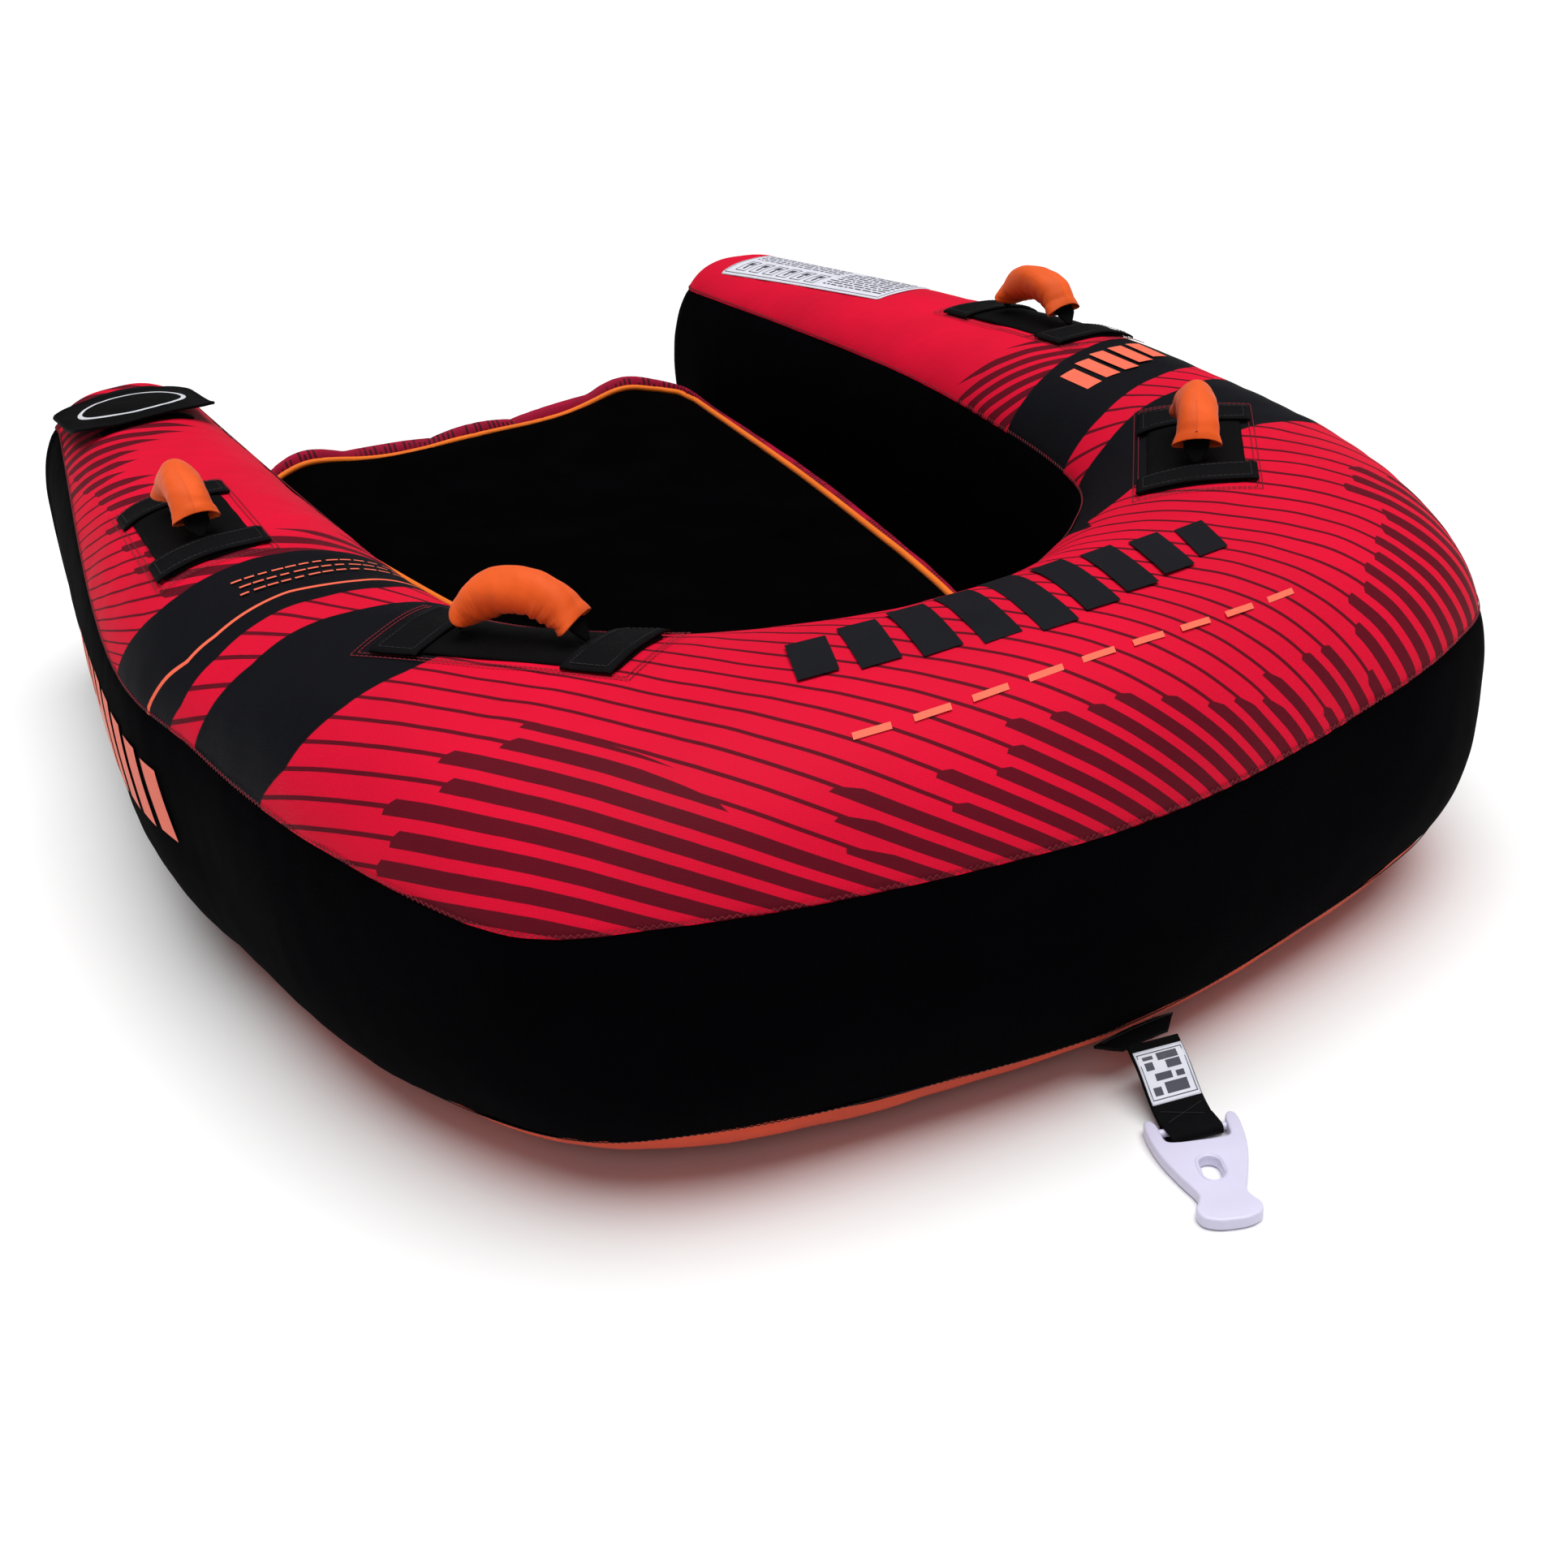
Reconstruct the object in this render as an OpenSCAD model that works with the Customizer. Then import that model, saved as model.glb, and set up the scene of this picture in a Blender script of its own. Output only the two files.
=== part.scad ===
// Towable tube: a U-shaped inflatable tube round an open-backed cockpit with an
// inflated floor. Millimetres, +Z up, tow end towards -Y, standing on z = 0.

/* [Tube] */
// Overall width across the legs
overall_w = 1408; // [1300:2:1500]
// Clear width of the cockpit between the legs
cockpit_w = 722; // [640:2:760]
// Height of the tube at the legs
tube_h = 416; // [380:2:440]
// Squareness of the tube's section: 2 is an ellipse
section_power = 2.6; // [2:0.1:3.2]
// Length of the rounded leg end
cap_len = 70; // [40:2:100]

/* [Cover and bladders] */
// Thickness of the fabric cover
cover_t = 2.5; // [2:0.5:4]
// Air gap modelled between the floor's cover and its bladder
cover_gap = 1; // [0.5:0.5:2]
// Air gap modelled between the tube's cover and its bladder
tube_gap = 8; // [7:0.5:10]
// Wall of the PVC bladders
bladder_t = 2; // [1.5:0.5:3]

/* [Floor] */
// Height of the floor's top edge above the ground
floor_h = 218; // [180:2:230]
// Diameter of the piping round the floor's top
piping_d = 9; // [6:1:12]

/* [Handles] */
// Length of a handle's backing along the handle
pad_len = 244; // [220:2:260]
// Width of the backing
pad_w = 100; // [80:2:110]
// Width of the two cross bars of webbing
bar_w = 50; // [40:1:60]
// Length of the cross bars, across the handle
bar_len = 122; // [110:2:130]
// Radius of the grip's arch, along the middle of the grip
arch_r = 70; // [66:1:74]
// Diameter of the cloth sleeve
sleeve_d = 42; // [36:1:46]
// Diameter of the foam grip inside the sleeve
foam_d = 32; // [26:1:34]
// Width of the handle's webbing
web_w = 26; // [20:1:28]

/* [Tow strap and connector] */
// Width of the tow webbing
strap_w = 50; // [40:1:52]
// Thickness of one layer of the tow webbing
strap_t = 2.2; // [1.6:0.2:2.4]
// Swing of the strap to one side as it lies
strap_skew = 12; // [0:1:20]
// Swing of the connector to the same side
hook_skew = 24; // [12:1:30]
// Thickness of the connector
hook_t = 12; // [10:0.5:12]
// Width of the oval hole for the tow rope
tow_eye_w = 18; // [14:1:22]
// Length of the oval hole
tow_eye_l = 30; // [24:1:34]

/* [Valves and zip] */
// Diameter of the inflation valve's flange
valve_d = 66; // [56:2:72]
// Length of the zip on the cover's inner side
zip_len = 520; // [400:10:540]

/* [Hidden] */
$fn = 48;

red = [0.90, 0.06, 0.20];
black = [0.03, 0.03, 0.04];
orange = [1.0, 0.42, 0.10];
rust = [0.80, 0.20, 0.08];
pvc = [0.30, 0.32, 0.36];
white = [0.90, 0.90, 0.94];

// The frame's origin is under the middle of the whole object's box: this is how
// far the tube's own datum, the middle of the nose, lies in front of it.
datum_y = 534.6;
half_w = overall_w / 2;
half_c = cockpit_w / 2;
half_h = tube_h / 2;

// Eight stations along one half of the U, from the middle of the nose to the leg end.
// Outer and inner edge in plan: share of the half widths, and distance behind the datum.
outer_x = [0, 0.341, 0.611, 0.778, 0.909, 0.969, 1, 0.886] * half_w;
outer_y = [-225, -198, -152, -60, 150, 380, 655, 1382];
inner_x = [0, 0.194, 0.402, 0.659, 0.881, 0.975, 1, 1] * half_c;
inner_y = [135, 160, 210, 272, 365, 560, 860, 1420];
// Half height of the section
rise = [1.020, 1.010, 1, 1, 0.995, 0.998, 1, 0.952] * half_h;
// Where the outer seams cross the section, in degrees round from the outer side
seam_top = [15, 17, 20, 18, 24, 26, 29, 50];
seam_low = [-41, -36, -32, -38, -42, -50, -58, -60];
// Where the inner seam crosses it, and where the bottom panel ends inside
seam_in = [145, 145, 145, 145, 145, 142, 137, 130];
seam_floor = [250, 250, 250, 250, 250, 250, 250, 250];
last = 7;
step = 1 / 3;
cap_steps = [0.4, 0.7, 0.9, 0.98];
walk = [for (t = [-last : step : last]) t];
RINGS = concat([for (i = [3 : -1 : 0]) -last - cap_steps[i]], walk,
               [for (e = cap_steps) last + e]);

// Catmull-Rom value of the list v at t, mirrored (m = 1) or turned over (m = -1) before 0
function spline(v, t, m) =
    let (n = len(v), i = min(max(floor(t), 0), n - 2), u = t - i,
         a = i == 0 ? m * v[1] : v[i - 1], b = v[i], c = v[i + 1],
         d = i + 2 > n - 1 ? 2 * v[n - 1] - v[n - 2] : v[i + 2])
    0.5 * (2 * b + (c - a) * u + (2 * a - 5 * b + 4 * c - d) * u * u
           + (3 * b - a - 3 * c + d) * u * u * u);
function outer_at(t) = [spline(outer_x, t, -1), spline(outer_y, t, 1)];
function inner_at(t) = [spline(inner_x, t, -1), spline(inner_y, t, 1)];
function power(v, e) = sign(v) * pow(abs(v), e);
function squarish(a) = [power(cos(a), 2 / section_power), power(sin(a), 2 / section_power)];

// One section of the tube: [centre, outward direction, half width, half height].
// Past the last station it shrinks into the rounded leg end.
function section_at(t) =
    let (s = min(abs(t), last), e = max(abs(t) - last, 0),
         o = outer_at(s), i = inner_at(s), span = norm(o - i), n = (o - i) / span,
         w = pow(1 - pow(e, 2.3), 1 / 2.3), h = 1 - 0.35 * pow(e, 4),
         c = (o + i) / 2 + cap_len * e * [-n[1], n[0]])
    [c, n, span / 2 * w, spline(rise, s, 1) * h, spline(rise, s, 1)];
// The point at angle a round section t, lifted d off the surface
function skin(t, a, d) =
    let (s = section_at(t), k = squarish(a), f = t < 0 ? -1 : 1,
         p = s[0] + s[1] * (s[2] + d) * k[0])
    [f * p[0], p[1] - datum_y, s[4] + (s[3] + d) * k[1]];
function at(v, t) = spline(v, min(abs(t), last), 1);

// Height of the tube's top over a point in plan: finds the section through it
function side_of(t, p) =
    let (o = outer_at(t), i = inner_at(t)) (p[0] - i[0]) * (o[1] - i[1]) - (p[1] - i[1]) * (o[0] - i[0]);
function find(p, lo, hi, n) =
    n == 0 ? (lo + hi) / 2
           : let (m = (lo + hi) / 2)
             side_of(m, p) * side_of(lo, p) > 0 ? find(p, m, hi, n - 1) : find(p, lo, m, n - 1);
function top_z(x, y) =
    let (p = [abs(x), y + datum_y], s = section_at(find(p, 0.01, last, 22)),
         c = (p - s[0]) * s[1] / s[2])
    s[3] + s[3] * pow(max(0, 1 - pow(abs(c), section_power)), 1 / section_power);

// A closed skin over rings of points that all run the same way round
module loft(rings) {
    n = len(rings);
    m = len(rings[0]);
    pts = [for (r = rings) for (p = r) p];
    sides = [for (i = [0 : n - 2]) for (j = [0 : m - 1])
             let (a = i * m + j, b = i * m + (j + 1) % m)
             each [[a, b + m, b], [a, a + m, b + m]]];
    ends = [[for (j = [0 : m - 1]) j], [for (j = [m - 1 : -1 : 0]) (n - 1) * m + j]];
    polyhedron(pts, concat(sides, ends), convexity = 10);
}

// A strip of cover between two lists of seam angles, with its thickness; it stops just
// short of each seam
module cover_strip(from, to, cuts) {
    loft([for (t = RINGS)
          let (a = at(from, t) + 0.15, b = at(to, t) - 0.15)
          concat([for (k = [cuts : -1 : 0]) skin(t, a + (b - a) * k / cuts, 0)],
                 [for (k = [0 : cuts]) skin(t, a + (b - a) * k / cuts, -cover_t)])]);
}
// The whole tube, d off the cover's outer face
module tube_solid(d, sides) {
    loft([for (t = RINGS) [for (k = [0 : sides - 1]) skin(t, -k * 360 / sides, d)]]);
}

// A sheet laid on the top of the tube: l by w, turned by a about c, from z0 to z1 above it
module laid(c, a, l, w, z0, z1, nl = 8, nw = 6) {
    function spot(u, v) =
        let (x = (u - 0.5) * l, y = (v - 0.5) * w)
        [c[0] + x * cos(a) - y * sin(a), c[1] + x * sin(a) + y * cos(a)];
    function lift(p, d) = [p[0], p[1], top_z(p[0], p[1]) + d];
    loft([for (i = [0 : nl])
          concat([for (j = [0 : nw]) lift(spot(i / nl, j / nw), z0)],
                 [for (j = [nw : -1 : 0]) lift(spot(i / nl, j / nw), z1)])]);
}

// ---- Cover ----
module top_panel() {
    color(red) difference() {
        cover_strip(seam_top, seam_in, 9);
        translate([valve_at[0], valve_at[1], valve_z - 40]) cylinder(h = 80, d = valve_d + 6);
    }
}
module outer_side_panel() color(black) cover_strip(seam_low, seam_top, 5);
module inner_side_panel() color(black) cover_strip(seam_in, seam_floor, 7);
module bottom_panel() {
    color(rust) union() {
        cover_strip(seam_floor, seam_low + [for (i = [0 : last]) 360], 7);
        // Flat sheet under the cockpit floor, from half way out under the tube all round
        linear_extrude(cover_t)
            polygon([for (t = [-last : step : last])
                     let (s = section_at(t), p = s[0] - s[1] * s[2] / 2)
                     [(t < 0 ? -1 : 1) * p[0], p[1] - datum_y]]);
    }
}
// Closes the narrow flat at the tip of one leg's rounded end
module end_panel(f) {
    tip = cap_steps[3] + last;
    s = section_at(tip);
    outline = [for (a = [0 : 15 : 345]) let (k = squarish(a)) [s[2] * k[0], s[3] * k[1]]];
    clear = 0.2;
    lean = atan2(s[1][1], s[1][0]);
    translate([f * (s[0][0] - clear * s[1][1]), s[0][1] + clear * s[1][0] - datum_y, s[4]])
        rotate([90, 0, f > 0 ? lean : 180 - lean])
        mirror([0, 0, f > 0 ? 1 : 0]) linear_extrude(cover_t) polygon(outline);
}
module end_panel_left() color(black) end_panel(-1);
module end_panel_right() color(black) end_panel(1);

// ---- Bladders ----
module main_bladder() {
    color(pvc) difference() {
        tube_solid(-cover_t - tube_gap, 20);
        tube_solid(-cover_t - tube_gap - bladder_t, 20);
        translate([valve_at[0], valve_at[1], valve_z - 40]) cylinder(h = 80, d = 35);
    }
}

// ---- Floor ----
// Half outline of the floor's top edge in plan, from the front middle to the rear middle
floor_x = [0, 100, 172, 214, 250, 288, 322, 334, 318, 240, 120, 0];
floor_y = [164, 222, 292, 430, 640, 900, 1200, 1320, 1375, 1394, 1392, 1384];
// How far the side band bulges past that edge at each of those points
floor_bulge = [10, 8, 10, 18, 28, 32, 22, 16, 26, 42, 45, 40];
floor_end = 11;
function floor_half(t, d) =
    let (p = [spline(floor_x, t, -1), spline(floor_y, t, 1)],
         q = [spline(floor_x, t + 0.02, -1), spline(floor_y, t + 0.02, 1)],
         g = (q - p) / norm(q - p))
    p + d * [g[1], -g[0]];
function floor_outline(k, d) =
    let (ts = [for (t = [0 : 0.5 : floor_end - 0.5]) t])
    concat([for (t = ts) let (p = floor_half(t, k * spline(floor_bulge, t, 1) + d)) [p[0], p[1] - datum_y]],
           [for (i = [len(ts) - 1 : -1 : 1])
            let (p = floor_half(ts[i], k * spline(floor_bulge, ts[i], 1) + d)) [-p[0], p[1] - datum_y]]);
floor_top_t = 3;
band_t = 2.5;
module floor_bladder() {
    base = cover_t + cover_gap;
    top = floor_h - floor_top_t - cover_gap;
    color(pvc) difference() {
        translate([0, 0, base]) linear_extrude(top - base) polygon(floor_outline(1, -band_t - cover_gap));
        translate([0, 0, base + bladder_t]) linear_extrude(top - base - 2 * bladder_t)
            polygon(floor_outline(1, -band_t - cover_gap - bladder_t));
        floor_valve_axis() translate([0, 0, -40]) cylinder(h = 60, d = 26);
        floor_valve_axis() translate([0, 0, -2.2]) cylinder(h = 20, d = 54);
    }
}
module floor_top_panel() {
    color(black) translate([0, 0, floor_h - floor_top_t]) linear_extrude(floor_top_t)
        polygon(floor_outline(1, -band_t - 0.2));
}
module floor_side_band() {
    color(red) difference() {
        translate([0, 0, cover_t]) linear_extrude(floor_h - cover_t) polygon(floor_outline(1, 0));
        linear_extrude(2 * floor_h) polygon(floor_outline(1, -band_t));
        floor_valve_axis() translate([0, 0, -20]) cylinder(h = 60, d = 56);
    }
}
module floor_piping() {
    line = floor_outline(1, 0);
    n = len(line);
    color(orange) polyhedron(
        [for (i = [0 : n - 1])
         let (g = line[(i + 1) % n] - line[(i + n - 1) % n], o = [g[1], -g[0]] / norm(g))
         for (a = [0 : 45 : 315])
             [line[i][0] + o[0] * cos(a) * piping_d / 2, line[i][1] + o[1] * cos(a) * piping_d / 2,
              floor_h + piping_d / 2 + sin(a) * piping_d / 2]],
        [for (i = [0 : n - 1]) for (j = [0 : 7])
         let (a = i * 8 + j, b = i * 8 + (j + 1) % 8, c = ((i + 1) % n) * 8)
         each [[a, c + (j + 1) % 8, c + j], [a, b, c + (j + 1) % 8]]]);
}

// ---- Handles ----
pad_t = 3.5;
bar_t = 3.2;
web_t = 3;
// The arch's centre lies this far below its hinge line, so it is less than a half circle
arch_drop = 26;
foot_x = sqrt(arch_r * arch_r - arch_drop * arch_drop);
front_handle = [390, 205 - datum_y];
front_turn = 51;
rear_handle = [560, 722 - datum_y];
rear_turn = 92.5;
// Height of a handle's hinge line: over the higher of the two ends of its arch
function hinge_z(c, a) =
    max([for (s = [-1, 0, 1]) top_z(c[0] + s * foot_x * cos(a), c[1] + s * foot_x * sin(a))])
    + pad_t + 2;
// The arch stands a little nearer the nose than the middle of its backing
arch_shift = 4;
module both(right, c0, a) {
    // f = 1 on the right, -1 on the left
    f = right ? 1 : -1;
    c = c0 - arch_shift * [cos(a), sin(a)];
    translate([f * c[0], c[1], hinge_z(c, a)]) rotate(right ? a : 180 - a) children();
}
module handle_pad(f, c, a) {
    color(black) laid([f * c[0], c[1]], f > 0 ? a : 180 - a, pad_len, pad_w, 1.5, pad_t, 12, 6);
}
module handle_bars(f, c, a) {
    turn = f > 0 ? a : 180 - a;
    reach = (pad_len - bar_w) / 2;
    color(black) for (s = [-1, 1])
        laid([f * c[0] + s * reach * cos(turn), c[1] + s * reach * sin(turn)], turn, bar_w, bar_len,
             pad_t + 0.8, pad_t + bar_t, 4, 8);
}
// Arch of the handle: its centre line is a flat arc that ends on the hinge line
module handle_web(right, c, a) {
    throat = 2;
    full = 14;
    tall = arch_r - arch_drop + web_t + 1;
    color(black) both(right, c, a) intersection() {
        translate([0, web_w / 2, 0]) rotate([90, 0, 0]) linear_extrude(web_w) difference() {
            translate([0, -arch_drop]) circle(r = arch_r + web_t / 2);
            translate([0, -arch_drop]) circle(r = arch_r - web_t / 2);
            translate([-arch_r - web_t, -2 * arch_r]) square([2 * arch_r + 2 * web_t, 2 * arch_r]);
        }
        translate([-arch_r - web_t, 0, 0]) rotate([90, 0, 90]) linear_extrude(2 * arch_r + 2 * web_t)
            polygon([[-throat, 0], [throat, 0], [web_w / 2, full], [web_w / 2, tall],
                     [-web_w / 2, tall], [-web_w / 2, full]]);
    }
}
sleeve_from = 40;
module arch_tube(right, c, a, from, outside, inside) {
    both(right, c, a) translate([0, 0, -arch_drop]) rotate([90, 0, 0]) rotate(from)
        rotate_extrude(angle = 180 - 2 * from) translate([arch_r, 0]) difference() {
            circle(d = outside);
            if (inside > 0) circle(d = inside);
            else square([web_t + 0.4, web_w + 0.4], center = true);
        }
}
module handle_foam(right, c, a) color(pvc) arch_tube(right, c, a, sleeve_from + 4, foam_d, 0);
module handle_sleeve(right, c, a)
    color(orange) arch_tube(right, c, a, sleeve_from, sleeve_d, foam_d + 0.6);

// ---- Label, valve and flap on the leg ends ----
label_at = [505, 1185 - datum_y];
label_turn = 97;
valve_at = [-500, 1272 - datum_y];
valve_z = top_z(valve_at[0], valve_at[1]);
flap_at = [-500, 1270 - datum_y];
flap_l = 172;
flap_w = 180;
flap_turn = 86;
module info_label() color(white) laid(label_at, label_turn, 390, 100, 1.5, 2.5, 16, 8);
// The flap is flat: it clears the valve below it, and only its rear edge is sewn down
flap_hinge_y = flap_at[1] + flap_l / 2;
flap_z = valve_z + 10;
module valve_flap() {
    color(black) translate([flap_at[0] - flap_w / 2, flap_at[1] - flap_l / 2, flap_z])
        cube([flap_w, flap_l, 4]);
}
module flap_tape() color(black) {
    laid([flap_at[0], flap_at[1] - flap_l / 2 + 14], 0, 120, 22, 1.5, 3.5, 10, 2);
    laid([flap_at[0], flap_hinge_y + 14], 0, flap_w - 20, 22, 1.5, 5, 14, 3);
}
seal_t = 1.6;
module valve_base() {
    color(pvc) translate([valve_at[0], valve_at[1], valve_z]) difference() {
        union() {
            translate([0, 0, -cover_t - 0.8]) cylinder(h = 3, d = valve_d);
            translate([0, 0, -34]) cylinder(h = 36, d = 34);
        }
        translate([0, 0, -40]) cylinder(h = 60, d = 22);
    }
}
module valve_seal() {
    color(black) translate([valve_at[0], valve_at[1], valve_z + 2]) difference() {
        cylinder(h = seal_t, d = 32);
        translate([0, 0, -1]) cylinder(h = 4, d = 24);
    }
}
module valve_cap() {
    color(black) translate([valve_at[0], valve_at[1], valve_z + 2 + seal_t + 0.3]) union() {
        difference() {
            cylinder(h = 5, d = 38);
            for (a = [0 : 30 : 330]) rotate(a) translate([19.5, 0, -1]) cylinder(h = 8, d = 3);
        }
        translate([0, 0, -14]) cylinder(h = 14.5, d = 21);
    }
}
floor_valve_x = -150;
floor_valve_z = 110;
module floor_valve_axis() {
    p = floor_half(10, spline(floor_bulge, 10, 1));
    translate([floor_valve_x, p[1] - datum_y, floor_valve_z]) rotate([-90, 0, 0]) children();
}
module floor_valve_base() {
    color(pvc) floor_valve_axis() difference() {
        union() {
            translate([0, 0, -1.8]) cylinder(h = 2.8, d = 52);
            translate([0, 0, -30]) cylinder(h = 31, d = 25);
        }
        translate([0, 0, -40]) cylinder(h = 60, d = 17);
    }
}
module floor_valve_cap() {
    color(black) floor_valve_axis() union() {
        translate([0, 0, 2.3]) difference() {
            cylinder(h = 4, d = 30);
            for (a = [0 : 36 : 324]) rotate(a) translate([15.5, 0, -1]) cylinder(h = 6, d = 2.4);
        }
        translate([0, 0, -8]) cylinder(h = 10.5, d = 16);
    }
}

// ---- Zip on the left leg's inner side ----
zip_from = 885 - datum_y;
zip_z = 276;
zip_x = -half_c - 0.5;
tooth_w = 6;
slider_l = 22;
module zip_tape() {
    color(black) for (s = [-1, 1])
        translate([zip_x - 1.2, zip_from - 20, zip_z + s * 8.5 - 6.5]) cube([1.2, zip_len + 40, 13]);
}
module zip_teeth() {
    color(pvc) translate([zip_x, zip_from, zip_z - tooth_w / 2]) cube([1.6, zip_len, tooth_w]);
}
module zip_slider() {
    color(pvc) translate([zip_x + 2.1, zip_from + 2, zip_z - 7]) union() {
        cube([3, slider_l, 14]);
        translate([3, slider_l / 2 - 4, 4.5]) cube([4.6, 1.8, 5]);
        translate([3, slider_l / 2 + 2.2, 4.5]) cube([4.6, 1.8, 5]);
        translate([6, slider_l / 2 - 4, 7]) rotate([-90, 0, 0]) cylinder(h = 8, r = 0.8);
    }
}
puller_x = zip_x + 8.1;
puller_y = zip_from + 2 + slider_l / 2;
module zip_puller() {
    color(pvc) translate([puller_x, puller_y, zip_z]) difference() {
        union() {
            rotate([-90, 0, 0]) translate([0, 0, -1.8]) cylinder(h = 3.6, r = 2.2);
            translate([-0.9, -1.8, -14]) cube([1.8, 3.6, 13]);
            translate([-0.9, -5, -40]) cube([1.8, 10, 27]);
        }
        rotate([-90, 0, 0]) translate([0, 0, -3]) cylinder(h = 6, r = 1.1);
    }
}

// ---- Tow strap and connector ----
root_y = -212 - datum_y;
root_z = 50;
loop_out = strap_t + 0.2;
bar_r = 3.6;
loop_r = bar_r + 0.3 + strap_t;
lie_z = loop_r + 0.2;
loop_u = 83.5;
slot_u = 72.5;
function along(a, u) = [-u * sin(a), -u * cos(a)];
bar_at = along(strap_skew, 78) + [0, root_y];
module tow_patch() {
    // Triangular lip of webbing that spreads the pull along the seam
    color(black) hull() {
        translate([-70, root_y + 22, root_z - 6]) cube([140, 4, 8]);
        translate([-strap_w / 2, root_y + 8.5, root_z - 5]) cube([strap_w, 4, 6]);
    }
}
module strap_web(w) {
    rotate([90, 0, 0]) translate([0, 0, -w / 2]) linear_extrude(w) children();
}
module slot_shape(r) {
    translate([slot_u, lie_z]) circle(r = r);
    translate([slot_u, lie_z - r]) square([loop_u - slot_u, 2 * r]);
    translate([loop_u, lie_z]) circle(r = r);
}
module tow_strap() {
    run = [[0, root_z], [22, 38], [48, 17], [slot_u, lie_z]];
    color(black) translate([0, root_y, 0]) rotate(-90 - strap_skew) difference() {
        union() {
            strap_web(strap_w) polygon(concat([for (p = run) p + [0, loop_out]],
                                              [for (i = [3 : -1 : 0]) run[i] - [0, loop_out]]));
            strap_web(strap_w) slot_shape(loop_r);
        }
        strap_web(strap_w + 2) slot_shape(bar_r + 0.3);
    }
}
module strap_label() {
    color(white) translate([0, root_y, 0]) rotate(-90 - strap_skew)
        translate([22, -strap_w / 2 + 1, 38]) rotate([0, atan2(21, 26), 0])
        translate([-14, 0, loop_out * 0.85]) cube([44, strap_w - 2, 0.8]);
}
// Half outline of the connector: horns on each side of the strap, a waist and a foot
hook_x = [0, 18, 28, 30, 31, 36, 42, 42, 38, 30, 21.5, 23, 28, 25, 13, 0];
hook_y = [20, 20, 17, 6, -6, -13, -8, 14, 38, 64, 87, 97, 107, 118, 124, 125];
hook_hole_y = 58;
module tow_connector() {
    half = [for (t = [0 : 0.25 : 15]) [spline(hook_x, t, -1), spline(hook_y, t, 1)]];
    n = len(half);
    outline = concat(half, [for (i = [n - 2 : -1 : 1]) [-half[i][0], half[i][1]]]);
    color(white) translate([bar_at[0], bar_at[1], lie_z]) rotate(180 - hook_skew) union() {
        translate([0, 0, -hook_t / 2]) difference() {
            linear_extrude(hook_t) polygon(outline);
            for (s = [-1, 1]) translate([0, hook_hole_y + s * (tow_eye_l - tow_eye_w) / 2, -1])
                cylinder(h = hook_t + 2, d = tow_eye_w);
            translate([-tow_eye_w / 2, hook_hole_y - (tow_eye_l - tow_eye_w) / 2, -1])
                cube([tow_eye_w, tow_eye_l - tow_eye_w, hook_t + 2]);
        }
        translate([-34, 0, 0]) rotate([0, 90, 0]) cylinder(h = 68, r = bar_r);
    }
}

main_bladder();
floor_bladder();
top_panel();
outer_side_panel();
inner_side_panel();
bottom_panel();
end_panel_left();
end_panel_right();
floor_top_panel();
floor_side_band();
floor_piping();
handle_pad(-1, front_handle, front_turn);  // handle_pad_fl
handle_pad(1, front_handle, front_turn);  // handle_pad_fr
handle_pad(-1, rear_handle, rear_turn);  // handle_pad_rl
handle_pad(1, rear_handle, rear_turn);  // handle_pad_rr
handle_bars(-1, front_handle, front_turn);  // handle_bars_fl
handle_bars(1, front_handle, front_turn);  // handle_bars_fr
handle_bars(-1, rear_handle, rear_turn);  // handle_bars_rl
handle_bars(1, rear_handle, rear_turn);  // handle_bars_rr
handle_web(false, front_handle, front_turn);  // handle_web_fl
handle_web(true, front_handle, front_turn);  // handle_web_fr
handle_web(false, rear_handle, rear_turn);  // handle_web_rl
handle_web(true, rear_handle, rear_turn);  // handle_web_rr
handle_foam(false, front_handle, front_turn);  // handle_foam_fl
handle_foam(true, front_handle, front_turn);  // handle_foam_fr
handle_foam(false, rear_handle, rear_turn);  // handle_foam_rl
handle_foam(true, rear_handle, rear_turn);  // handle_foam_rr
handle_sleeve(false, front_handle, front_turn);  // handle_sleeve_fl
handle_sleeve(true, front_handle, front_turn);  // handle_sleeve_fr
handle_sleeve(false, rear_handle, rear_turn);  // handle_sleeve_rl
handle_sleeve(true, rear_handle, rear_turn);  // handle_sleeve_rr
info_label();
valve_flap();
flap_tape();
valve_base();
valve_seal();
valve_cap();
floor_valve_base();
floor_valve_cap();
zip_tape();
zip_teeth();
zip_slider();
zip_puller();
tow_patch();
tow_strap();
strap_label();
tow_connector();
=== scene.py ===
"""Towable tube: the looks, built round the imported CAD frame. Metres in Blender, millimetres in the maths."""

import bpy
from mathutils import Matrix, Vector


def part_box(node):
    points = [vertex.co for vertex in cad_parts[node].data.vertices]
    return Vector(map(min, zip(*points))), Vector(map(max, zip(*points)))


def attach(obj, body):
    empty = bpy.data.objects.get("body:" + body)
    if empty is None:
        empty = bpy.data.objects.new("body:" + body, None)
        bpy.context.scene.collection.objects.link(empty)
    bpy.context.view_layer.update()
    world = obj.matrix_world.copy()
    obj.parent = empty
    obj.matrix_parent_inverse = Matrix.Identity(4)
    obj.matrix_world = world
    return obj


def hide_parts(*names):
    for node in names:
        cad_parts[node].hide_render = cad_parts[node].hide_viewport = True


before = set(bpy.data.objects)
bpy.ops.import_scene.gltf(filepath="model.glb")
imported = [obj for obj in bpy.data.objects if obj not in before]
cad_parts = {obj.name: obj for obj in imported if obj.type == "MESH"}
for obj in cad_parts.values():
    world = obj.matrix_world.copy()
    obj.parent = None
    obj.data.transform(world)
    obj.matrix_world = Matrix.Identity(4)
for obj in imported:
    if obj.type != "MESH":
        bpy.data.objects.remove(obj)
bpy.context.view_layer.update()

import math

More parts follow.
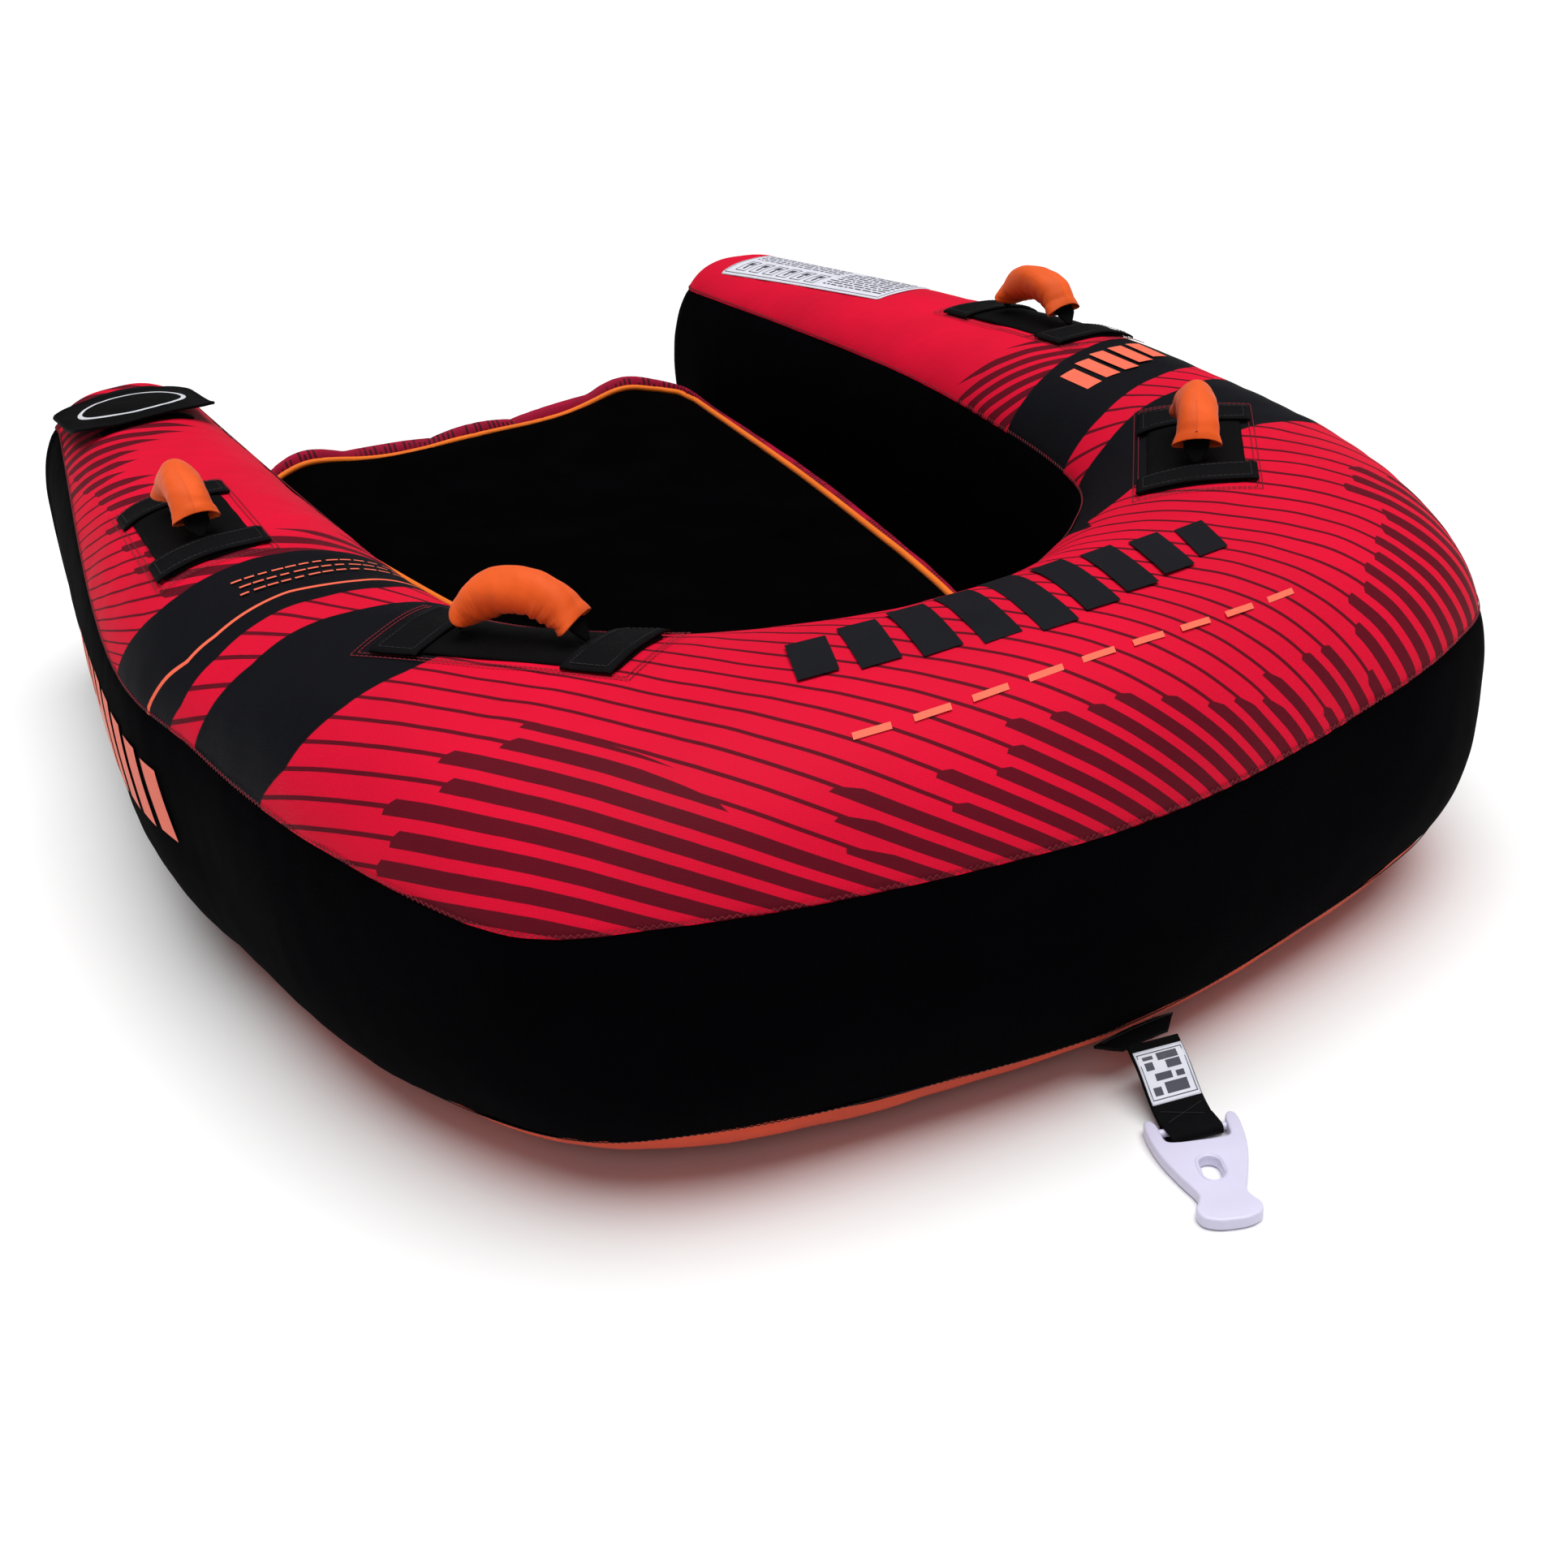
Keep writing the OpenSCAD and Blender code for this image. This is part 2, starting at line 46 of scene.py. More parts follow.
import bmesh
import bpy
import numpy as np
from mathutils import Matrix, Vector

MM = 0.001

# ------------------------------------------------------------------ sizes, from the frame
side_lo, side_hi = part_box("outer_side_panel")
ZIP_PAST = 1.7                            # the zip tape lies this far outside the cockpit's half width
HALF_C = -(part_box("zip_tape")[0].x / MM + ZIP_PAST)
DATUM = -225 - side_lo.y / MM             # the tube's own datum lies this far in front of the origin
HALF_H = 208.0
POWER = 2.6
CAP_LEN = 70.0
CAP_ROUND = 2.3
CAP_DROOP = .35
LAST = 7                                  # number of the last station
ARC_STEPS = 1600                          # points used to measure round a section

OUTER_X = np.array([0, .341, .611, .778, .909, .969, 1, .886])
OUTER_Y = np.array([-225, -198, -152, -60, 150, 380, 655, 1382.])
INNER_X = np.array([0, .194, .402, .659, .881, .975, 1, 1]) * HALF_C
INNER_Y = np.array([135, 160, 210, 272, 365, 560, 860, 1420.])
RISE = np.array([1.020, 1.010, 1, 1, .995, .998, 1, .952]) * HALF_H
SEAM_TOP = np.array([15, 17, 20, 18, 24, 26, 29, 50.])
SEAM_LOW = np.array([-41, -36, -32, -38, -42, -50, -58, -60.])
SEAM_IN = np.array([145, 145, 145, 145, 145, 142, 137, 130.])
SEAM_FLOOR = np.full(8, 250.)


def catmull(a, b, c, d, u):
    """Smooth curve from b to c as u runs from 0 to 1; a and d are the points before and after."""
    return .5 * (2 * b + (c - a) * u + (2 * a - 5 * b + 4 * c - d) * u ** 2
                 + (3 * b - a - 3 * c + d) * u ** 3)


def spline(v, t, m):
    """Catmull-Rom through v at t (an array), mirrored before 0 with sign m."""
    v = np.asarray(v, float)
    t = np.asarray(t, float)
    n = len(v)
    i = np.clip(np.floor(t).astype(int), 0, n - 2)
    u = t - i
    ext = np.concatenate([[m * v[1]], v, [2 * v[-1] - v[-2]]])
    return catmull(ext[i], ext[i + 1], ext[i + 2], ext[i + 3], u)


HALF_W = side_hi.x / MM / spline(OUTER_X, np.linspace(0, LAST, 800), -1).max()
OUTER_X = OUTER_X * HALF_W


def section_at(t):
    """Centre, outward direction, half width, half height and middle height of the section at |t|."""
    t = np.abs(np.asarray(t, float))
    s, e = np.minimum(t, LAST), np.maximum(t - LAST, 0)
    o = np.stack([spline(OUTER_X, s, -1), spline(OUTER_Y, s, 1)], -1)
    i = np.stack([spline(INNER_X, s, -1), spline(INNER_Y, s, 1)], -1)
    span = np.linalg.norm(o - i, axis=-1)
    n = (o - i) / span[..., None]
    w = (1 - np.minimum(e, .9999) ** CAP_ROUND) ** (1 / CAP_ROUND)
    h = 1 - CAP_DROOP * e ** 4
    c = (o + i) / 2 + (CAP_LEN * e)[..., None] * np.stack([-n[..., 1], n[..., 0]], -1)
    r = spline(RISE, s, 1)
    return c, n, span / 2 * w, r * h, r


def skin(t, a, d=0.):
    """Point at angle a (degrees) round section t, lifted d: mm, row frame."""
    t, a = np.broadcast_arrays(np.asarray(t, float), np.asarray(a, float))
    c, n, w, h, z = section_at(t)
    ar = np.radians(a)
    kx = np.sign(np.cos(ar)) * np.abs(np.cos(ar)) ** (2 / POWER)
    kz = np.sign(np.sin(ar)) * np.abs(np.sin(ar)) ** (2 / POWER)
    f = np.where(t < 0, -1., 1.)
    p = c + n * ((w + d) * kx)[..., None]
    return np.stack([f * p[..., 0], p[..., 1] - DATUM, z + (h + d) * kz], -1)


def at(v, t):
    """Value at |t| of what is listed station by station."""
    return spline(v, np.minimum(np.abs(t), LAST), 1)


def find_t(x, y):
    """Section through a point in plan (row frame, mm), and the share of its half width."""
    px, py = np.abs(x), y + DATUM
    lo = np.full(np.shape(px), .01)
    end = np.full(np.shape(px), LAST - .0001)
    hi = end

    def side(t):
        ox, oy = spline(OUTER_X, t, -1), spline(OUTER_Y, t, 1)
        ix, iy = spline(INNER_X, t, -1), spline(INNER_Y, t, 1)
        return (px - ix) * (oy - iy) - (py - iy) * (ox - ix)
    s_lo = side(lo)
    for _ in range(24):
        mid = (lo + hi) / 2
        same = side(mid) * s_lo > 0
        lo, hi = np.where(same, mid, lo), np.where(same, hi, mid)
    t = np.where(side(end) * s_lo > 0, .01, (lo + hi) / 2)
    c, n, w, h, z = section_at(t)
    k = ((px - c[..., 0]) * n[..., 0] + (py - c[..., 1]) * n[..., 1]) / w
    return t, k, h, z


def top_z(x, y):
    """Height of the tube's top over a point in plan."""
    t, k, h, z = find_t(np.asarray(x, float), np.asarray(y, float))
    return z + h * np.maximum(0, 1 - np.abs(k) ** POWER) ** (1 / POWER)


# ------------------------------------------------------------------ small helpers
def noise1(x, seed, octaves=3):
    """Smooth 1-D noise from a few sines, about -1 to 1."""
    r = np.random.default_rng(seed)
    out = 0
    for k in range(octaves):
        for _ in range(3):
            out = out + np.sin(x * (1.7 ** k) * r.uniform(.7, 1.4) + r.uniform(0, 6.28)) / (1.5 ** k)
    return out / 4


def noise3(p, scale, seed, waves=14):
    """Smooth 3-D noise: a sum of plane waves. p is (..., 3) in mm and scale the wavelength in mm."""
    r = np.random.default_rng(seed)
    out = np.zeros(p.shape[:-1])
    for _ in range(waves):
        k = r.normal(size=3)
        k *= 2 * np.pi / scale * r.uniform(.6, 1.6) / np.linalg.norm(k)
        out += np.sin(p @ k + r.uniform(0, 6.28))
    return out / math.sqrt(waves)


def new_mesh(name, verts, faces, mat, smooth=True):
    """Mesh object from points in mm."""
    me = bpy.data.meshes.new(name)
    me.from_pydata((np.asarray(verts) * MM).tolist(), [], [list(map(int, f)) for f in faces])
    me.validate()
    if smooth:
        me.polygons.foreach_set("use_smooth", [True] * len(me.polygons))
    ob = bpy.data.objects.new(name, me)
    bpy.context.collection.objects.link(ob)
    me.materials.append(mat)
    return ob


def attr(ob, name, values, kind="FLOAT"):
    """Stores one value, or one vector, at each point of a mesh."""
    at_ = ob.data.attributes.new(name, kind, "POINT")
    key = "vector" if kind == "FLOAT_VECTOR" else "value"
    at_.data.foreach_set(key, np.asarray(values, float).ravel())


def run_length(p):
    """Length along a line of points, 0 at its first point."""
    return np.concatenate([[0], np.cumsum(np.linalg.norm(np.diff(p, axis=0), axis=1))])


def shade(color, k, add=0.0):
    """A colour k times as bright, with add on each channel."""
    return tuple(min(1, c * k + add) for c in color[:3]) + (1,)


def face_outward(me, join=0.0):
    """Turns a mesh's faces to the outside, after joining points closer than join (metres)."""
    bm = bmesh.new()
    bm.from_mesh(me)
    if join:
        bmesh.ops.remove_doubles(bm, verts=bm.verts, dist=join)
    bmesh.ops.recalc_face_normals(bm, faces=bm.faces)
    bm.to_mesh(me)
    bm.free()


def border(nr, nc):
    """Row and column of each point round the edge of a grid, in order."""
    return ([(r, 0) for r in range(nr)] + [(nr - 1, c) for c in range(1, nc)]
            + [(r, nc - 1) for r in range(nr - 2, -1, -1)] + [(0, c) for c in range(nc - 2, 0, -1)])


def between_corners(corners, nu, nv):
    """Grid of points over a shape with four corners."""
    c = np.asarray(corners, float)
    u, v = np.meshgrid(np.linspace(0, 1, nu), np.linspace(0, 1, nv), indexing="ij")
    return (c[0] * ((1 - u) * (1 - v))[..., None] + c[1] * (u * (1 - v))[..., None]
            + c[2] * (u * v)[..., None] + c[3] * ((1 - u) * v)[..., None])


def grid_faces(nr, nc, wrap_c=False, wrap_r=False, flip=False):
    """Four-sided faces over a grid of points, joined round where it wraps."""
    rows = nr if wrap_r else nr - 1
    cols = nc if wrap_c else nc - 1
    i, j = np.meshgrid(np.arange(rows), np.arange(cols), indexing="ij")
    a = i * nc + j
    b = i * nc + (j + 1) % nc
    c = ((i + 1) % nr) * nc + (j + 1) % nc
    d = ((i + 1) % nr) * nc + j
    f = np.stack([a, b, c, d], -1).reshape(-1, 4)
    return f[:, ::-1] if flip else f


def settle(ob, slot, body, *nodes):
    """Puts the piece in the body it moves with and hides the CAD nodes it stands for; slot, the finish, is not
    used.
    """
    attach(ob, body)
    if nodes:
        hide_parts(*nodes)
    return ob


def modifier(ob, kind, **kw):
    """Adds a modifier with its settings."""
    m = ob.modifiers.new(kind.lower(), kind)
    for k, v in kw.items():
        setattr(m, k, v)
    return m


def sheet_solid(name, grid, thick, mat, down=None):
    """A closed sheet with thickness from a grid of points (r, c, 3), thickened along -normal."""
    g = np.asarray(grid, float)
    du = np.gradient(g, axis=0)
    dv = np.gradient(g, axis=1)
    nrm = np.cross(du, dv)
    nrm /= np.linalg.norm(nrm, axis=-1, keepdims=True) + 1e-9
    if nrm[..., 2].mean() < 0 and down is None:
        nrm = -nrm
    if down is not None:
        nrm = nrm * down
    under = g - nrm * thick
    nr, nc = g.shape[:2]
    top = grid_faces(nr, nc)
    n0 = nr * nc
    bot = grid_faces(nr, nc, flip=True) + n0
    idx = [r * nc + c for r, c in border(nr, nc)]
    rim = [[a, b, b + n0, a + n0] for a, b in zip(idx, idx[1:] + idx[:1])]
    verts = np.concatenate([g.reshape(-1, 3), under.reshape(-1, 3)])
    ob = new_mesh(name, verts, top.tolist() + bot.tolist() + rim, mat)
    face_outward(ob.data)
    return ob


def tube_mesh(name, path, radius, mat, sides=10, closed=False, up=(0, 0, 1)):
    """A tube swept along a path of points in mm."""
    p = np.asarray(path, float)
    n = len(p)
    tan = (np.roll(p, -1, 0) - np.roll(p, 1, 0)) if closed else np.gradient(p, axis=0)
    tan /= np.linalg.norm(tan, axis=1, keepdims=True) + 1e-9
    up = np.broadcast_to(np.asarray(up, float), p.shape)
    side = np.cross(tan, up)
    side /= np.linalg.norm(side, axis=1, keepdims=True) + 1e-9
    nor = np.cross(side, tan)
    ang = np.linspace(0, 2 * np.pi, sides, endpoint=False)
    r = np.full((n, 1), float(radius))
    pts = (p[:, None] + side[:, None] * (r * np.cos(ang))[..., None]
           + nor[:, None] * (r * np.sin(ang))[..., None])
    faces = grid_faces(n, sides, wrap_c=True, wrap_r=closed).tolist()
    verts = pts.reshape(-1, 3)
    if not closed:
        faces += [list(range(sides))[::-1], [(n - 1) * sides + k for k in range(sides)]]
    ob = new_mesh(name, verts, faces, mat)
    face_outward(ob.data)
    return ob


# ------------------------------------------------------------------ materials
def lin(r, g, b):
    """sRGB 0-255 to the linear colour a shader takes."""
    parts = [c / 255 for c in (r, g, b)]
    return tuple(c / 12.92 if c <= .04045 else ((c + .055) / 1.055) ** 2.4 for c in parts) + (1.0,)


RED = lin(228, 10, 52)
STRIPE = lin(100, 8, 28)
INK = lin(9, 10, 18)
CORAL = lin(255, 112, 84)


class Nodes:
    """Short way to write a node material."""

    def __init__(self, name):
        self.mat = bpy.data.materials.new(name)
        self.mat.use_nodes = True
        self.t = self.mat.node_tree
        self.bsdf = self.t.nodes["Principled BSDF"]

    def add(self, kind, **kw):
        n = self.t.nodes.new(kind)
        for k, v in kw.items():
            setattr(n, k, v)
        return n

    def link(self, a, b):
        self.t.links.new(a, b)

    def put(self, socket, v):
        if hasattr(v, "is_linked") or hasattr(v, "links"):
            self.link(v, socket)
        else:
            socket.default_value = v

    def math(self, op, a, b=0.0, c=0.0, clamp=False):
        n = self.add("ShaderNodeMath", operation=op, use_clamp=clamp)
        for s, v in zip(n.inputs, (a, b, c)):
            self.put(s, v)
        return n.outputs[0]

    def mix(self, f, a, b):
        n = self.add("ShaderNodeMix", data_type="RGBA")
        self.put(n.inputs[0], f)
        self.put(n.inputs[6], a)
        self.put(n.inputs[7], b)
        return n.outputs[2]

    def ramp(self, v, lo, hi, a=0.0, b=1.0):
        n = self.add("ShaderNodeMapRange")
        self.put(n.inputs[0], v)
        for s, w in zip(n.inputs[1:5], (lo, hi, a, b)):
            self.put(s, w)
        return n.outputs[0]

    def attr(self, name):
        return self.add("ShaderNodeAttribute", attribute_name=name)

    def random(self, number):
        """A random value from 0 to 1 for each whole number."""
        n = self.add("ShaderNodeTexWhiteNoise", noise_dimensions="1D")
        self.link(number, n.inputs["W"])
        return n.outputs["Value"]

    def noise(self, vec, scale, detail=3.0, rough=.55):
        n = self.add("ShaderNodeTexNoise")
        self.link(vec, n.inputs["Vector"])
        n.inputs["Scale"].default_value = scale
        n.inputs["Detail"].default_value = detail
        n.inputs["Roughness"].default_value = rough
        return n.outputs["Fac"]

    def bump(self, h, strength, dist, before=None):
        n = self.add("ShaderNodeBump")
        n.inputs["Strength"].default_value = strength
        n.inputs["Distance"].default_value = dist
        self.link(h, n.inputs["Height"])
        if before is not None:
            self.link(before, n.inputs["Normal"])
        return n.outputs["Normal"]

    def weave(self, vec, pitch):
        """Over-and-under threads: height 0 to 1 from a flat place on the cloth, in metres."""
        sep = self.add("ShaderNodeSeparateXYZ")
        self.link(vec, sep.inputs[0])
        k = math.pi / pitch
        a = self.math("ABSOLUTE", self.math("SINE", self.math("MULTIPLY", sep.outputs[0], k)))
        b = self.math("ABSOLUTE", self.math("SINE", self.math("MULTIPLY", sep.outputs[1], k)))
        return self.math("MULTIPLY", a, b)

    def finish(self, color, rough, normal=None, spec=.3, sheen=0.0, coat=0.0):
        b = self.bsdf
        self.put(b.inputs["Base Color"], color)
        self.put(b.inputs["Roughness"], rough)
        b.inputs["Specular IOR Level"].default_value = spec
        b.inputs["Sheen Weight"].default_value = sheen
        b.inputs["Sheen Roughness"].default_value = .5
        b.inputs["Coat Weight"].default_value = coat
        if normal is not None:
            self.link(normal, b.inputs["Normal"])
        return self.mat


def cloth(name, color, pitch=.0016, rough=.75, spec=.25, sheen=.05, vary=.12, weave=.35, wrinkle=.0,
          from_attr=True):
    """Woven cloth in one colour, with uneven dye, thread relief, painted shade in the gaps between threads and
    fine wrinkles.
    """
    m = Nodes(name)
    if from_attr:
        vec = m.attr("cloth_at").outputs["Vector"]
    else:
        vec = m.add("ShaderNodeTexCoord").outputs["Object"]
    w = m.weave(vec, pitch)
    slow = m.noise(vec, 9.0, 4.0)
    fine = m.noise(vec, 260.0, 2.0)
    col = m.mix(m.ramp(slow, .3, .7), shade(color, 1 - 2 * vary), shade(color, 1 + vary, .0006))
    # Painted shade: where the threads dip, the colour is darkened towards 0.55 of itself
    col = m.mix(m.math("MULTIPLY", m.ramp(w, 0, .35, 1, 0), .35), col, shade(color, .55))
    nrm = m.bump(w, weave, pitch * .5)
    nrm = m.bump(fine, .12, .0006, nrm)
    if wrinkle:
        nrm = m.bump(m.noise(vec, 34.0, 3.0, .6), wrinkle, .004, nrm)
    r = m.ramp(slow, .3, .7, rough - .06, rough + .08)
    return m.finish(col, r, nrm, spec, sheen)


def webbing(name, color, rough=.8, pitch=.0025):
    """Ribbed webbing: rows of chevron threads, with painted highlight on the raised threads."""
    m = Nodes(name)
    vec = m.attr("cloth_at").outputs["Vector"]
    sep = m.add("ShaderNodeSeparateXYZ")
    m.link(vec, sep.inputs[0])
    k = 2 * math.pi / pitch
    ribs = m.math("SINE", m.math("MULTIPLY", sep.outputs[1], k))
    zig = m.math("PINGPONG", sep.outputs[1], pitch * 2)
    cross = m.math("SINE", m.math("MULTIPLY", m.math("ADD", sep.outputs[0], zig), k * .9))
    h = m.math("ADD", m.math("MULTIPLY", ribs, .5), m.math("MULTIPLY", cross, .5))
    h = m.ramp(h, -1, 1)
    slow = m.noise(vec, 30.0, 3.0)
    # Painted highlight: the raised threads are lightened towards 1.8 times the colour, by an amount that
    # varies slowly
    col = m.mix(m.math("MULTIPLY", h, m.ramp(slow, .3, .7, .3, .9)), color, shade(color, 1.8, .002))
    return m.finish(col, m.ramp(slow, .3, .7, rough - .08, rough + .08), m.bump(h, .6, .0009), .1, .0)


def plastic(name, color, rough=.42, spec=.5, grain=.25, vary=.06, coat=0.0):
    """Moulded plastic: slight mottling, fine spark-eroded grain and faint flow marks."""
    m = Nodes(name)
    vec = m.add("ShaderNodeTexCoord").outputs["Object"]
    slow = m.noise(vec, 28.0, 4.0)
    grainy = m.noise(vec, 1400.0, 2.0)
    col = m.mix(m.ramp(slow, .3, .7), shade(color, 1 - vary), color)
    nrm = m.bump(grainy, grain, .0002)
    nrm = m.bump(slow, .15, .0015, nrm)
    worn = m.ramp(m.noise(vec, 90.0, 3.0), .3, .7, rough - .06, rough + .1)
    return m.finish(col, worn, nrm, spec, 0, coat)


def printed_red():
    """The top's cloth: red, with printed dark lines that widen and stop in steps, black bands, and painted
    shade between its threads.
    """
    m = Nodes("printed_red_cloth")
    vec = m.attr("cloth_at").outputs["Vector"]
    count = m.attr("line_count").outputs["Fac"]
    wide = m.attr("wide_by").outputs["Fac"]
    shown = m.attr("lines_by").outputs["Fac"]
    band = m.attr("band_by").outputs["Fac"]
    edge = m.attr("coral_by").outputs["Fac"]
    number = m.math("FLOOR", m.math("ADD", count, .5))
    off = m.math("ABSOLUTE", m.math("SUBTRACT", count, number))
    jump = m.ramp(m.random(number), 0, 1, -16, 16)
    jump2 = m.ramp(m.random(m.math("ADD", number, 37.3)), 0, 1, -22, 22)
    # A wide stripe starts square and ends in a short point
    w = m.ramp(m.math("ADD", wide, jump), -.6, 1.2, .085, .29)
    s = m.ramp(m.math("ADD", shown, jump2), 0, 30)
    half = m.math("MULTIPLY", w, s)
    line = m.ramp(m.math("SUBTRACT", half, off), -.012, .012)
    slow = m.noise(vec, 6.0, 4.0)
    fine = m.noise(vec, 320.0, 2.0)
    weave = m.weave(vec, .0016)
    red = m.mix(m.ramp(slow, .3, .7), shade(RED, .84), RED)
    dark = m.mix(m.ramp(slow, .3, .7), shade(STRIPE, .8), STRIPE)
    col = m.mix(line, red, dark)
    ink = m.mix(m.ramp(slow, .3, .7), shade(INK, .6), INK)
    col = m.mix(m.ramp(band, -.7, .7), col, ink)
    near_edge = m.ramp(m.math("ABSOLUTE", edge), 2.2, 3.0, 1, 0)
    coral = m.math("MULTIPLY", near_edge, m.ramp(band, -.7, .7))
    col = m.mix(coral, col, CORAL)
    # Painted shade: where the threads dip, the colour is darkened a little towards black
    col = m.mix(m.math("MULTIPLY", m.ramp(weave, 0, .35, 1, 0), .16), col, (0, 0, 0, 1))
    nrm = m.bump(weave, .25, .0007)
    nrm = m.bump(fine, .1, .0006, nrm)
    nrm = m.bump(m.noise(vec, 22.0, 3.0, .55), .10, .005, nrm)
    return m.finish(col, m.ramp(slow, .3, .7, .66, .78), nrm, .1, .0)


def band_cloth():
    """The floor cushion's side: red, with dark ticks hanging from the piping."""
    m = Nodes("floor_band_cloth")
    vec = m.attr("cloth_at").outputs["Vector"]
    sep = m.add("ShaderNodeSeparateXYZ")
    m.link(vec, sep.inputs[0])
    cell = m.math("MULTIPLY", sep.outputs[0], 1 / .0075)
    number = m.math("FLOOR", cell)
    off = m.math("ABSOLUTE", m.math("SUBTRACT", m.math("SUBTRACT", cell, number), .5))
    reach = m.ramp(m.random(number), 0, 1, .008, .034)
    far = m.math("SUBTRACT", reach, sep.outputs[1])
    tick = m.math("MULTIPLY", m.ramp(far, -.0005, .0005), m.ramp(off, .2, .26, 1, 0))
    tick = m.math("MULTIPLY", tick, m.ramp(m.noise(vec, 7.0, 1.0), .46, .5))
    slow = m.noise(vec, 9.0, 4.0)
    weave = m.weave(vec, .0016)
    red = m.mix(m.ramp(slow, .3, .7), lin(136, 8, 44), lin(172, 12, 54))
    col = m.mix(tick, red, lin(70, 12, 26))
    # Painted shade: where the threads dip, the colour is darkened a little towards black
    col = m.mix(m.math("MULTIPLY", m.ramp(weave, 0, .35, 1, 0), .16), col, (0, 0, 0, 1))
    nrm = m.bump(weave, .25, .0007)
    nrm = m.bump(m.noise(vec, 30.0, 3.0), .15, .004, nrm)
    return m.finish(col, m.ramp(slow, .3, .7, .66, .76), nrm, .12, .0)


M_TOP = printed_red()
M_BLACK = cloth("black_cover_cloth", lin(2, 2, 4), rough=.92, spec=.015, sheen=.0, vary=.2, weave=.3,
                wrinkle=.08)
M_RUST = cloth("rust_bottom_cloth", lin(208, 66, 30), rough=.7, wrinkle=.1)
M_BAND = band_cloth()
M_ORANGE = cloth("orange_sleeve_cloth", lin(248, 94, 12), pitch=.0011, rough=.62, spec=.3, sheen=.08,
                 vary=.10, weave=.3, wrinkle=.25)
M_PIPE = cloth("orange_piping_cloth", lin(255, 122, 22), pitch=.0012, rough=.6, from_attr=False, vary=.08)
M_FLOOR = cloth("black_floor_cloth", lin(1, 1, 2), rough=.92, spec=.01, sheen=.0, vary=.25, wrinkle=.12)
M_WEB = webbing("black_webbing", lin(3, 3, 5))
M_FLAP = cloth("black_flap_cloth", lin(5, 5, 7), pitch=.0018, rough=.85, spec=.08, sheen=.0, vary=.25,
               weave=.45)
M_FOAM = plastic("grip_foam", lin(40, 40, 44), rough=.9, spec=.2, grain=.6)
M_WHITE = plastic("connector_nylon", lin(216, 212, 236), rough=.38, spec=.45, grain=.15, vary=.05, coat=.1)
M_VALVE = plastic("valve_moulding", lin(38, 38, 42), rough=.5)
M_SEAL = plastic("seal_rubber", lin(30, 30, 31), rough=.75, spec=.3, grain=.5)
M_METAL = plastic("zip_painted_zinc", lin(62, 62, 66), rough=.35, spec=.6)
M_TEETH = plastic("zip_tooth_plastic", lin(44, 44, 48), rough=.5)
M_THREAD = cloth("dark_red_thread", lin(120, 14, 32), pitch=.0008, rough=.7, from_attr=False)
M_THREAD_K = cloth("black_thread", lin(24, 24, 28), pitch=.0008, rough=.7, from_attr=False)
M_PRINT_K = cloth("black_print", lin(13, 14, 22), rough=.65, spec=.15, sheen=.0, vary=.12, weave=.25)
M_PRINT_C = cloth("coral_print", CORAL, rough=.6, spec=.3, vary=.06, weave=.25)


def label_material(name):
    """White vinyl, slightly uneven."""
    m = Nodes(name)
    vec = m.attr("cloth_at").outputs["Vector"]
    slow = m.noise(vec, 40.0, 3.0)
    col = m.mix(m.ramp(slow, .3, .7), lin(224, 225, 236), lin(232, 233, 244))
    nrm = m.bump(m.noise(vec, 60.0, 3.0), .2, .0012)
    return m.finish(col, m.ramp(slow, .3, .7, .34, .46), nrm, .4, 0, .05)


M_LABEL = label_material("safety_label_vinyl")
M_INK = plastic("label_ink", lin(62, 64, 78), rough=.5, grain=.1)
M_WHITE_INK = plastic("white_ring_print", lin(214, 216, 222), rough=.5, grain=.1)

# ------------------------------------------------------------------ cover
CELL = 8.0


def cap_walk():
    """T values along one half of the U, evenly spaced along its middle line, then round the leg end."""
    t = np.linspace(0, LAST, 1200)
    c = section_at(t)[0]
    s = run_length(c)
    n = int(s[-1] / CELL)
    half = np.interp(np.linspace(0, s[-1], n + 1), s, t)
    k = np.arange(1, 23) / 22
    ends = LAST + .998 * (1 - (1 - k) ** 2.4)
    return np.concatenate([half, ends])


HALF_T = cap_walk()
WALK = np.concatenate([-HALF_T[:0:-1], [1e-6], HALF_T[1:]])


def arc_angles(t, a0, a1, n):
    """n angles from a0 to a1 round section t, evenly spaced by arc length."""
    a = np.linspace(a0, a1, ARC_STEPS)
    s = run_length(skin(np.full(ARC_STEPS, t), a))
    return np.interp(np.linspace(0, s[-1], n), s, a), s[-1]


